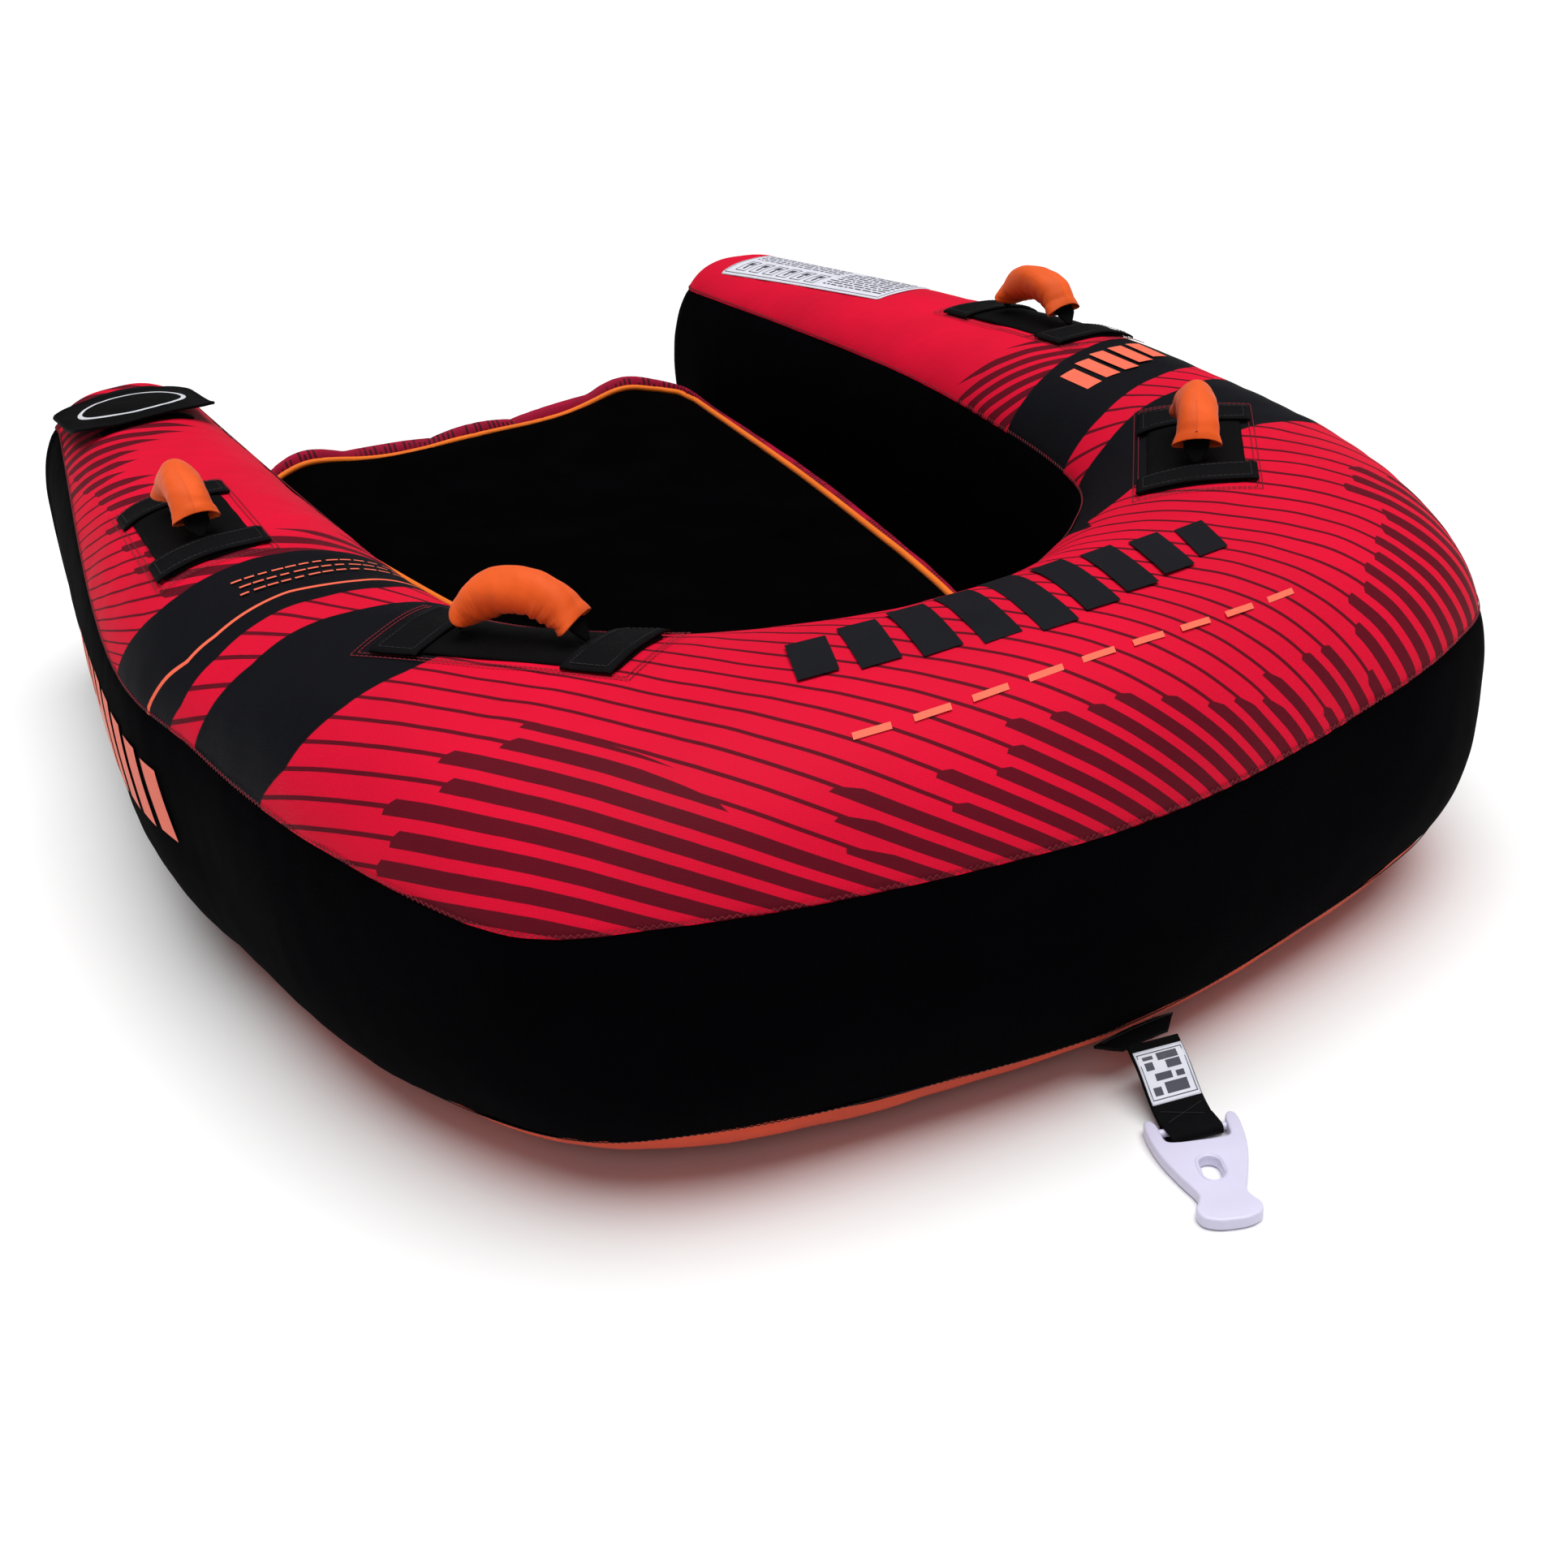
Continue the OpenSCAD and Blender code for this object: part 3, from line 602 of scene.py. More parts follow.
def panel(name, lo, hi, cols, mat, seed, pucker=(1., 1.), dip=1.6):
    """One strip of cover from seam lo to seam hi, dipped and puckered where it is sewn."""
    ang = np.zeros((len(WALK), cols))
    wid = np.zeros(len(WALK))
    for r, t in enumerate(WALK):
        ang[r], wid[r] = arc_angles(t, at(lo, t), at(hi, t), cols)
    T = np.repeat(WALK[:, None], cols, 1)
    base = skin(T, ang)
    u = np.linspace(0, 1, cols)[None] * wid[:, None]
    along = run_length(skin(WALK, 90.))
    along = np.repeat(along[:, None], cols, 1)
    near_lo, near_hi = u, wid[:, None] - u
    lift = -dip * np.exp(-near_lo / 4.5) - dip * np.exp(-near_hi / 4.5)
    # Gathers run across the seam and die out into the panel
    rip = noise1(along / 4.6, seed) * .75 + noise1(along / 9.5, seed + 1) * .8
    rip2 = noise1(along / 5.1, seed + 2) * .75 + noise1(along / 11., seed + 3) * .8
    amp = .45 + .55 * noise1(along / 90., seed + 4)
    lift = (lift + pucker[0] * rip * amp * np.exp(-near_lo / 16)
            + pucker[1] * rip2 * amp * np.exp(-near_hi / 16))
    lift = lift + .9 * noise3(base, 190., seed + 5) + .35 * noise3(base, 60., seed + 6)
    g = skin(T, ang, lift)
    ob = new_mesh(name, g.reshape(-1, 3), grid_faces(*g.shape[:2], flip=True), mat)
    vec = np.stack([along * MM, (u - u.mean(1, keepdims=True)) * MM, np.zeros_like(u)], -1)
    attr(ob, "cloth_at", vec, "FLOAT_VECTOR")
    return ob, T, ang, g


def poly_sd(x, y, pts):
    """Signed distance in mm to a closed outline, positive inside."""
    p = np.asarray(pts, float)
    q = np.roll(p, -1, 0)
    best = np.full(x.shape, 1e9)
    inside = np.zeros(x.shape, bool)
    for (ax, ay), (bx, by) in zip(p, q):
        dx, dy = bx - ax, by - ay
        k = np.clip(((x - ax) * dx + (y - ay) * dy) / (dx * dx + dy * dy + 1e-9), 0, 1)
        best = np.minimum(best, np.hypot(x - ax - k * dx, y - ay - k * dy))
        cross = ((ay > y) != (by > y)) & (x < (bx - ax) * (y - ay) / (by - ay + 1e-12) + ax)
        inside ^= cross
    return np.where(inside, best, -best)


def printed_fields(ob, T, ang, g):
    """Where each point of the top lies among the printed lines, stripes and bands."""
    v = np.zeros(T.shape)
    for r, t in enumerate(WALK):
        a = np.linspace(ang[r].min(), ang[r].max(), ARC_STEPS)
        s = run_length(skin(np.full(ARC_STEPS, t), a))
        crown = np.interp(90., a, s)
        v[r] = crown - np.interp(ang[r], a, s)
    c, n, w, h, z = section_at(T)
    f = np.where(T < 0, -1., 1.)
    X = f * (c[..., 0] + n[..., 0] * v)
    Y = c[..., 1] + n[..., 1] * v
    px, py = g[..., 0], g[..., 1] + DATUM
    # Front: nearly straight diagonals, wider apart to the right
    s = X + .62 * Y - .0009 * np.where(Y < 0, Y * Y, 0)
    front = np.where(s < 0, s / 30, (s - .00027 * s * s) / 30)
    d = X + 660
    left = (Y + .5 * d - 75 * np.exp(-np.clip(d, -60, 400) / 50)) / 43
    e = np.clip(X - 385, -200, 135)
    gr = e - .3 * e * np.abs(e) / 135 + .4 * np.maximum(X - 520, 0)
    right = (Y + gr) / 30
    between_l = (X + .62 * Y) / 37
    count = np.where(py > 495, np.where(px < 0, left, right), np.where(py > 290, between_l, front))
    # Wide stripes: front left corner, along the nose's seam, front right corner, both legs
    wide_front = poly_sd(px, py, [(-760, 90), (-590, 75), (-545, 60), (-505, 57), (-445, 50), (-400, -30),
                                  (-352, -100), (-325, -140), (-230, -170), (100, -176), (190, -185),
                                  (262, -165), (300, -140), (340, -105), (385, -75), (415, -30), (430, 10),
                                  (462, 48), (520, 60), (760, 20), (760, -400), (-760, -400)])
    wide_left = poly_sd(px, py, [(-618, 500), (-618, 1500), (-300, 1500), (-300, 500)])
    wide_right = poly_sd(px, py, [(300, 500), (300, 700), (535, 700), (535, 500)])
    wide = np.maximum(np.maximum(wide_front, wide_left), wide_right)
    shown_left = poly_sd(px, py, [(-900, 280), (-900, 1560), (-448, 1560), (-450, 1100), (-520, 1060),
                                  (-556, 1000), (-560, 740), (-520, 665), (-300, 660), (-300, 280)])
    shown_right = poly_sd(px, py, [(300, 280), (300, 660), (480, 668), (545, 690), (590, 760), (612, 900),
                                   (612, 1560), (900, 1560), (900, 280)])
    shown = np.where(py > 350, np.maximum(shown_left, shown_right), 60.)
    # Black bands across the legs
    bands = [
        [(-760, 500), (-690, 450), (-660, 420), (-620, 412), (-530, 422), (-440, 425), (-410, 435),
         (-330, 440), (-330, 548), (-420, 550), (-460, 556), (-530, 570), (-610, 557), (-640, 560),
         (-690, 590), (-760, 640)],
        [(-760, 290), (-650, 240), (-620, 210), (-560, 202), (-500, 208), (-436, 223), (-330, 262),
         (-215, 262), (-215, 372), (-430, 373), (-520, 370), (-600, 358), (-660, 375), (-760, 420)],
        [(300, 388), (360, 392), (410, 393), (450, 402), (500, 418), (550, 432), (580, 440), (610, 460),
         (760, 560), (760, 700), (640, 612), (590, 590), (550, 578), (500, 562), (450, 545), (410, 537),
         (300, 536)],
        [(190, 120), (215, 162), (300, 188), (490, 215), (560, 210), (600, 230), (640, 300), (760, 400),
         (760, 500), (640, 418), (600, 395), (500, 368), (450, 358), (380, 342), (300, 340), (190, 340)],
    ]
    sd = np.max([poly_sd(px, py, b) for b in bands], 0)
    line = [(-700, 500), (-684, 485), (-640, 450), (-610, 446), (-530, 458), (-460, 452), (-340, 462)]
    lx, ly = zip(*line)
    coral = np.where(px < 0, py - np.interp(px, lx, ly), 99.)
    attr(ob, "line_count", count)
    attr(ob, "wide_by", wide)
    attr(ob, "lines_by", np.clip(shown, -80, 80))
    attr(ob, "band_by", np.clip(sd, -60, 60))
    attr(ob, "coral_by", coral)


top, T, ANG, G = panel("cover_top", SEAM_TOP, SEAM_IN, 52, M_TOP, 11)
printed_fields(top, T, ANG, G)
settle(top, "red_cloth", "tube", "top_panel")
outer, *_ = panel("cover_outer_side", SEAM_LOW, SEAM_TOP, 36, M_BLACK, 21, pucker=(.8, .9), dip=1.2)
settle(outer, "black_cloth", "tube", "outer_side_panel")
inner, *_ = panel("cover_inner_side", SEAM_IN, SEAM_FLOOR, 44, M_BLACK, 31, pucker=(.9, .6), dip=1.2)
settle(inner, "black_cloth", "tube", "inner_side_panel")
bottom, *_ = panel("cover_bottom", SEAM_FLOOR, SEAM_LOW + 360, 36, M_RUST, 41, pucker=(.6, .9), dip=1.2)
settle(bottom, "rust_cloth", "tube", "bottom_panel")


def under_sheet():
    """Flat sheet of bottom cloth under the cockpit floor."""
    t = np.linspace(-LAST, LAST, 121)
    c, n, w, h, z = section_at(t)
    f = np.where(t < 0, -1., 1.)
    p = c - n * (w / 2)[:, None]
    x, y = f * p[:, 0], p[:, 1] - DATUM
    k = np.linspace(0, 1, 13)
    my = np.clip(y, 330 - DATUM, y.max())
    gx = x[:, None] * (1 - k)
    gy = y[:, None] * (1 - k) + my[:, None] * k
    gz = 1.6 + .5 * np.sin(gx / 60) * np.sin(gy / 75)
    g = np.stack([gx, gy, gz], -1)
    ob = new_mesh("cover_under_sheet", g.reshape(-1, 3), grid_faces(*g.shape[:2], flip=True), M_RUST)
    attr(ob, "cloth_at", g * MM, "FLOAT_VECTOR")
    return ob


settle(under_sheet(), "rust_cloth", "tube")


def leg_tip(f):
    """Slightly crowned panel that closes a leg's rounded end."""
    sides = 72
    t = np.full(sides, LAST + .998)
    a = np.linspace(0, 360, sides, endpoint=False)
    rim = skin(t * f, a)
    mid = rim.mean(0)
    out = np.cross(rim[18] - mid, rim[0] - mid) * (-f)
    out /= np.linalg.norm(out)
    if out[1] < 0:
        out = -out
    rings = []
    for k in np.linspace(1, 0.04, 12):
        rings.append(mid + (rim - mid) * k + out * (.8 * (1 - k ** 2.2) - .8 * math.exp(-(1 - k) * 18)))
    g = np.array(rings)
    faces = grid_faces(len(rings), sides, wrap_c=True).tolist()
    faces.append([(len(rings) - 1) * sides + k for k in range(sides)])
    ob = new_mesh("leg_tip_" + ("right" if f > 0 else "left"), g.reshape(-1, 3), faces, M_BLACK)
    face_outward(ob.data)
    attr(ob, "cloth_at", np.stack([(g[..., 0]) * MM, (g[..., 2]) * MM, g[..., 1] * 0], -1), "FLOAT_VECTOR")
    return ob


settle(leg_tip(-1), "black_cloth", "tube", "end_panel_left")
settle(leg_tip(1), "black_cloth", "tube", "end_panel_right")


def zigzag(name, seam, mat, over=0.0, pitch=6.0, width=3.2, lift=.4, thick=.55):
    """Zig-zag stitching along a seam of the cover."""
    t = np.interp(np.arange(0, 1, 1 / 6000), np.linspace(0, 1, len(WALK)), WALK)
    p = skin(t, at(seam, t))
    s = run_length(p)
    n = int(s[-1] / (pitch / 2))
    tt = np.interp(np.linspace(0, s[-1], n), s, t)
    step = np.where(np.arange(n) % 2 == 0, 1, -1) * width / 2 + over
    w = section_at(tt)[2]
    da = np.degrees(step / np.maximum(w, 60.))
    pts = skin(tt, at(seam, tt) + da, lift)
    cur = skin(tt, at(seam, tt), lift + 10) - pts
    ob = tube_mesh(name, pts, thick, mat, sides=4, up=cur)
    return settle(ob, "red_cloth", "tube")


zigzag("stitch_outer_seam", SEAM_TOP, M_THREAD, over=3.0)
zigzag("stitch_inner_seam", SEAM_IN, M_THREAD, over=-3.0)
zigzag("stitch_low_seam", SEAM_LOW, M_THREAD_K, over=4.0)


# ------------------------------------------------------------------ print marks on the cover
def plan_quad(corners, lift, nu, nv):
    """Grid over four plan corners (mm, y from the tube's datum), laid on the tube's top."""
    p = between_corners(corners, nu, nv)
    x, y = p[..., 0], p[..., 1] - DATUM
    return np.stack([x, y, top_z(x, y) + lift], -1)


def marks(name, quads, mat, body, slot_name, lift=1.9, cell=7.0, mapper=None):
    """Several flat printed shapes, each on the tube's surface, as one piece."""
    verts, faces, base = [], [], 0
    for q in quads:
        q = np.asarray(q, float)
        nu = max(2, int(np.linalg.norm(q[1] - q[0]) / cell) + 1)
        nv = max(2, int(np.linalg.norm(q[3] - q[0]) / cell) + 1)
        g = (mapper or plan_quad)(q, lift, nu, nv)
        f = grid_faces(nu, nv)
        verts.append(g.reshape(-1, 3))
        faces += (f + base).tolist()
        base += nu * nv
    v = np.concatenate(verts)
    ob = new_mesh(name, v, faces, mat)
    attr(ob, "cloth_at", v * MM, "FLOAT_VECTOR")
    return settle(ob, slot_name, body)


def slanted(x0, x1, y0, y1, lean, bend=lambda x: 0.):
    """A leaning bar: lean is how far its far side is shifted along x."""
    return [(x0, y0 + bend(x0)), (x1, y0 + bend(x1)), (x1 + lean, y1 + bend(x1)), (x0 + lean, y1 + bend(x0))]


def front_bend(x):
    """How far back the nose's rows curve at x."""
    return .00035 * x * x - 2


def front_print():
    """Plain leaning bars, each shorter than the last towards both ends, and a row of dashes before them."""
    bars = []
    dashes = []
    for k in range(9):
        x = -240 + k * 53
        trim = 9 * abs(k - 4)
        bars.append(slanted(x, x + 38, -92 + trim, 48 - trim, 26, front_bend))
        x = -238 + k * 54
        dashes.append(slanted(x, x + 34, -140, -134, 2, front_bend))
    marks("print_front_blocks", bars, M_PRINT_K, "tube", "red_cloth")
    marks("print_front_dashes", dashes, M_PRINT_C, "tube", "red_cloth", cell=4.0)


def right_band_print():
    """Five short bars on the right leg's band."""
    bars = []
    for k in range(5):
        x = 442 + k * 31
        y = 450 + k * 8
        bars.append(slanted(x, x + 21, y + 4 * abs(k - 2), y + 78 - 4 * abs(k - 2), 6))
    marks("print_right_band_blocks", bars, M_PRINT_C, "tube", "red_cloth", cell=5.0)


def left_band_print():
    """Three rows of short dashes on the left leg's band."""
    dashes = []
    for row in range(3):
        for k in range(12):
            x = -570 + k * 14 + (row % 2) * 4
            dashes.append(slanted(x, x + 9 + (k * 7 + row * 3) % 4, 484 + row * 17, 487.5 + row * 17, 0))
    marks("print_left_band_dashes", dashes, M_PRINT_C, "tube", "red_cloth", cell=4.0)


def side_quad(corners, lift, nu, nv):
    """Grid over four (y, z) corners on the tube's left outer side (y from the tube's datum)."""
    p = between_corners(corners, nu, nv)
    tt = np.linspace(0, LAST, 800)
    yy = skin(tt, 0.)[:, 1] + DATUM
    t = np.interp(p[..., 0], yy, tt)
    h, z = section_at(t)[3:]
    k = np.clip((p[..., 1] - z) / h, -.999, .999)
    a = np.degrees(np.arcsin(np.sign(k) * np.abs(k) ** (POWER / 2)))
    return skin(-t, a, lift)


def left_side_print():
    """Eight leaning bars on the left outer side."""
    bars = []
    for k in range(8):
        y0 = 440 + k * 56
        z0, z1 = 184 + 4 * abs(k - 3.5), 282 - 4 * abs(k - 3.5)
        bars.append([(y0, z0), (y0 + 38, z0), (y0 + 62, z1), (y0 + 24, z1)])
    marks("print_left_side_blocks", bars, M_PRINT_C, "tube", "black_cloth", lift=1.6, mapper=side_quad)


front_print()
right_band_print()
left_band_print()
left_side_print()

# ------------------------------------------------------------------ floor
FLOOR_X = np.array([0, 100, 172, 214, 250, 288, 322, 334, 318, 240, 120, 0.])
FLOOR_Y = np.array([164, 222, 292, 430, 640, 900, 1200, 1320, 1375, 1394, 1392, 1384.])
BULGE = np.array([10, 8, 10, 18, 28, 32, 22, 16, 26, 42, 45, 40.])
FLOOR_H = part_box("floor_top_panel")[1].z / MM
PIPE_R = 4.5


def floor_line(t, d):
    """Points of the cushion's outline at t, moved d outwards: mm, y from the tube's datum."""
    p = np.stack([spline(FLOOR_X, t, -1), spline(FLOOR_Y, t, 1)], -1)
    q = np.stack([spline(FLOOR_X, t + .02, -1), spline(FLOOR_Y, t + .02, 1)], -1)
    g = (q - p) / np.linalg.norm(q - p, axis=-1, keepdims=True)
    return p + d[:, None] * np.stack([g[:, 1], -g[:, 0]], -1)


def whole(half):
    """Both halves of the outline as one closed loop: right front to rear, then back up the left."""
    other = half[-2:0:-1].copy()
    other[:, 0] *= -1
    return np.concatenate([half, other])


FT = np.linspace(0, len(FLOOR_X) - 1, 221)
LOOP_T = np.concatenate([FT, FT[-2:0:-1]])
EDGE = whole(floor_line(FT, np.zeros_like(FT)))
OUT = whole(floor_line(FT, np.full_like(FT, 10.))) - EDGE
OUT /= np.linalg.norm(OUT, axis=1, keepdims=True)
BUL = spline(BULGE, LOOP_T, 1)
# The rear edge rises near both corners and dips in the middle
REAR = 1 / (1 + np.exp(-(EDGE[:, 1] - 1300) / 14))
WAVE = REAR * (17 * np.exp(-((np.abs(EDGE[:, 0]) - 262) / 62) ** 2) + 2 * np.cos(EDGE[:, 0] / 34) - 3)
EDGE_Z = FLOOR_H + PIPE_R + WAVE


def floor_top():
    """The cushion's top, dished to its seam and crossed by welded channels."""
    k = np.linspace(0, 1, 40)
    mid = np.stack([0 * EDGE[:, 0], np.clip(EDGE[:, 1], 330, 1250)], -1)
    p = EDGE[:, None] * (1 - k)[None, :, None] + mid[:, None] * k[None, :, None]
    x, y = p[..., 0], p[..., 1]
    rise = 9 * (1 - (1 - k) ** 2.5)[None] - 3.5 * np.exp(-k * 24)[None]
    z = EDGE_Z[:, None] * np.exp(-k * 7)[None] + (FLOOR_H + PIPE_R) * (1 - np.exp(-k * 7))[None] + rise
    # Three shallow welded channels run front to back
    for cx in (-140, 0, 140):
        ends = np.clip((y - 420) / 60, 0, 1) * np.clip((1300 - y) / 60, 0, 1)
        z = z - 5 * np.exp(-((x - cx) / 15) ** 2) * ends
    g = np.stack([x, y - DATUM, z], -1)
    g[..., 2] += .8 * noise3(g, 120., 51) * (1 - np.exp(-k * 14))[None]
    ob = new_mesh("floor_cushion_top", g.reshape(-1, 3), grid_faces(*g.shape[:2], wrap_r=True), M_FLOOR)
    attr(ob, "cloth_at", g * MM, "FLOAT_VECTOR")
    return ob


def floor_band():
    """The cushion's side, bulging out under the piping, with lobes at the rear."""
    s = run_length(EDGE)
    rows = 26
    phi = np.linspace(0, 1, rows)
    lobes = 1 - np.abs(np.sin(EDGE[:, 0] / 132 * np.pi + np.pi / 2)) ** .8
    full = 1 - .12 * REAR * lobes
    crest = 6 + REAR * (13 - 6.5 * lobes)
    ang = np.linspace(.62 * np.pi, -.44 * np.pi, rows)
    prof_x = (np.cos(ang) + .36) / 1.36
    prof_z = np.sin(ang)
    mid_z = 110.
    off = BUL[:, None] * full[:, None] * prof_x[None]
    hi = (EDGE_Z + crest)[:, None]
    top_half = mid_z + (hi - mid_z) * np.clip(prof_z[None], 0, 1)
    low_half = mid_z + (mid_z - 6) * np.clip(prof_z[None], -1, 0)
    z = np.where(prof_z[None] > 0, top_half, low_half)
    # The first row is the seam under the piping
    k = np.exp(-phi * 16)[None]
    z = z * (1 - k) + (EDGE_Z[:, None] - 4) * k
    off = off * (1 - k)
    rip = noise1(s / 3.6, 61)[:, None] * np.exp(-phi * 9)[None] * (1.4 + 1.2 * REAR[:, None])
    off = off + rip + .8 * noise1(s / 30, 62)[:, None]
    p = EDGE[:, None] + OUT[:, None] * off[..., None]
    g = np.stack([p[..., 0], p[..., 1] - DATUM, z], -1)
    faces = grid_faces(*g.shape[:2], wrap_r=True, flip=True)
    ob = new_mesh("floor_cushion_side", g.reshape(-1, 3), faces, M_BAND)
    steps = np.linalg.norm(np.diff(g, axis=1), axis=2)
    down = np.concatenate([np.zeros((len(s), 1)), np.cumsum(steps, 1)], 1)
    along = np.repeat(s[:, None], rows, 1)
    attr(ob, "cloth_at", np.stack([along * MM, down * MM, 0 * down], -1), "FLOAT_VECTOR")
    return ob


settle(floor_top(), "black_cloth", "tube", "floor_top_panel")
settle(floor_band(), "red_cloth", "tube", "floor_side_band")
pipe_z = EDGE_Z + .6 * noise1(np.arange(len(EDGE)) / 5., 70)
pipe = tube_mesh("floor_piping_tube", np.stack([EDGE[:, 0], EDGE[:, 1] - DATUM, pipe_z], -1), PIPE_R, M_PIPE,
                 10, closed=True)
settle(pipe, "orange_cloth", "tube", "floor_piping")

# ------------------------------------------------------------------ handles
PAD_L, PAD_W, BAR_W, BAR_L = 244., 100., 50., 122.
PAD_TOP, BAR_TOP = 3.5, 6.7
ARCH_R, ARCH_DROP, ARCH_SHIFT, SLEEVE_R, WEB_W = 70., 26., 4., 21., 26.
FOOT_LIFT = 5.5                                         # the arch's feet stand this far above the tube
FOOT_X = math.sqrt(ARCH_R ** 2 - ARCH_DROP ** 2)
FRONT, FRONT_TURN = (390., 205.), 51.
REAR_H, REAR_TURN = (560., 722.), 92.5


def laid(c, a, l, w, lift, nu, nv, corner=0.0):
    """Grid of points over a rectangle on the tube's top, with rounded corners, turned a degrees about c."""
    u, v = np.meshgrid(np.linspace(-.5, .5, nu), np.linspace(-.5, .5, nv), indexing="ij")
    x, y = u * l, v * w
    if corner:
        over = np.maximum(0, np.abs(x) - (l / 2 - corner))
        keep = (w / 2 - corner) + np.sqrt(np.maximum(corner ** 2 - over ** 2, 0))
        y = y * keep / (w / 2)
    ca, sa = math.cos(math.radians(a)), math.sin(math.radians(a))
    px = c[0] + x * ca - y * sa
    py = c[1] + x * sa + y * ca
    z = top_z(px, py) + lift
    return np.stack([px, py, z], -1), x, y


def flat_attr(ob, x, y):
    """Cloth coordinates for a solid sheet: the same flat place on its two faces."""
    one = np.stack([x * MM, y * MM, 0 * x], -1).reshape(-1, 3)
    attr(ob, "cloth_at", np.concatenate([one, one]), "FLOAT_VECTOR")


def handle(tag, f, c, turn, seed):
    """One grip with its backing, centred on c, on the right (f = 1) or the left (f = -1)."""
    a = turn if f > 0 else 180 - turn
    handle_backing(tag, (f * c[0], c[1] - DATUM), a, seed)
    # The arch stands a little nearer the nose than the middle of its backing
    t = math.radians(turn)
    cx, cy = f * (c[0] - ARCH_SHIFT * math.cos(t)), c[1] - ARCH_SHIFT * math.sin(t) - DATUM
    along = np.array([math.cos(math.radians(a)), math.sin(math.radians(a)), 0.])
    feet = [top_z(cx + k * FOOT_X * along[0], cy + k * FOOT_X * along[1]) for k in (-1, 0, 1)]
    foot_z = float(max(feet)) + FOOT_LIFT
    org = np.array([cx, cy, foot_z - ARCH_DROP])
    grip_core(tag, org, along, foot_z)
    grip_sleeve(tag, org, along, seed)


def handle_backing(tag, mid, a, seed):
    """Backing and two cross bars, turned a degrees about mid, with their rows of stitches."""
    cx, cy = mid
    ca, sa = math.cos(math.radians(a)), math.sin(math.radians(a))
    g, x, y = laid((cx, cy), a, PAD_L, PAD_W, PAD_TOP, 49, 21, 7.)
    g[..., 2] += .5 * np.sin(x / 9 + seed) * np.exp(-(50 - np.abs(y)) / 8)
    g[..., 2] -= 1.3 * np.exp(-(PAD_W / 2 - np.abs(y)) / 3) + 1.3 * np.exp(-(PAD_L / 2 - np.abs(x)) / 3)
    pad = sheet_solid("pad_" + tag, g, 1.8, M_FLAP)
    flat_attr(pad, x, y)
    settle(pad, "webbing_black", "tube", "handle_pad_" + tag)
    # Two cross bars of webbing, longer than the backing is wide
    for s, nm in ((-1, "a"), (1, "b")):
        reach = (PAD_L - BAR_W) / 2
        bc = (cx + s * reach * ca, cy + s * reach * sa)
        g, x, y = laid(bc, a, BAR_W, BAR_L, BAR_TOP, 15, 33)
        g[..., 2] += .35 * np.sin(y / 11 + seed + s)
        g[..., 2] -= 1.8 * np.exp(-(BAR_L / 2 - np.abs(y)) / 3.0)
        g[..., 2] += .9 * (np.exp(-((np.abs(x) - 19) / 2.5) ** 2))
        bar = sheet_solid("bar_%s_%s" % (tag, nm), g, 2.2, M_WEB)
        flat_attr(bar, x, y)
        settle(bar, "webbing_black", "tube", "handle_bars_" + tag)
        # Box of stitches
        stitch_ring("bar_stitch_%s_%s" % (tag, nm), bc, a, 18, 54, BAR_TOP + .55, M_THREAD_K, 5.5, .45)
    for nm, off in (("in", 9.), ("out", 14.)):
        stitch_ring("pad_stitch_%s_%s" % (nm, tag), (cx, cy), a, PAD_L / 2 + off + 4, PAD_W / 2 + off,
                    1.6, M_THREAD, 5.0, .5)


def grip_core(tag, org, along, foot_z):
    """The webbing arch about org, in the upright plane of along, and the foam round it."""
    up = np.array([0, 0, 1.])
    side = np.cross(along, up)

    def arc(th):
        return org + along * (ARCH_R * np.cos(th))[:, None] + up * (ARCH_R * np.sin(th))[:, None]
    # The strap is tapered where it is stitched down
    foot = math.asin(ARCH_DROP / ARCH_R) + .012
    path = arc(np.linspace(foot, np.pi - foot, 61))
    hgt = path[:, 2] - foot_z
    half = np.clip(2 + (WEB_W / 2 - 2) * hgt / 14, 2, WEB_W / 2)
    v = np.linspace(-1, 1, 9)
    g = path[:, None] + side * (half[:, None] * v[None])[..., None]
    web = sheet_solid("grip_web_" + tag, g + (path - org)[:, None] * .02, 2.6, M_WEB, down=1.0)
    s = run_length(path)
    flat_attr(web, np.repeat(s[:, None], 9, 1), half[:, None] * v[None])
    settle(web, "webbing_black", "handle_" + tag, "handle_web_" + tag)
    th = np.linspace(math.radians(44), math.radians(136), 50)
    foam = tube_mesh("grip_foam_" + tag, arc(th), 15.4, M_FOAM, 16, up=(arc(th) - org))
    settle(foam, "foam", "handle_" + tag, "handle_foam_" + tag)


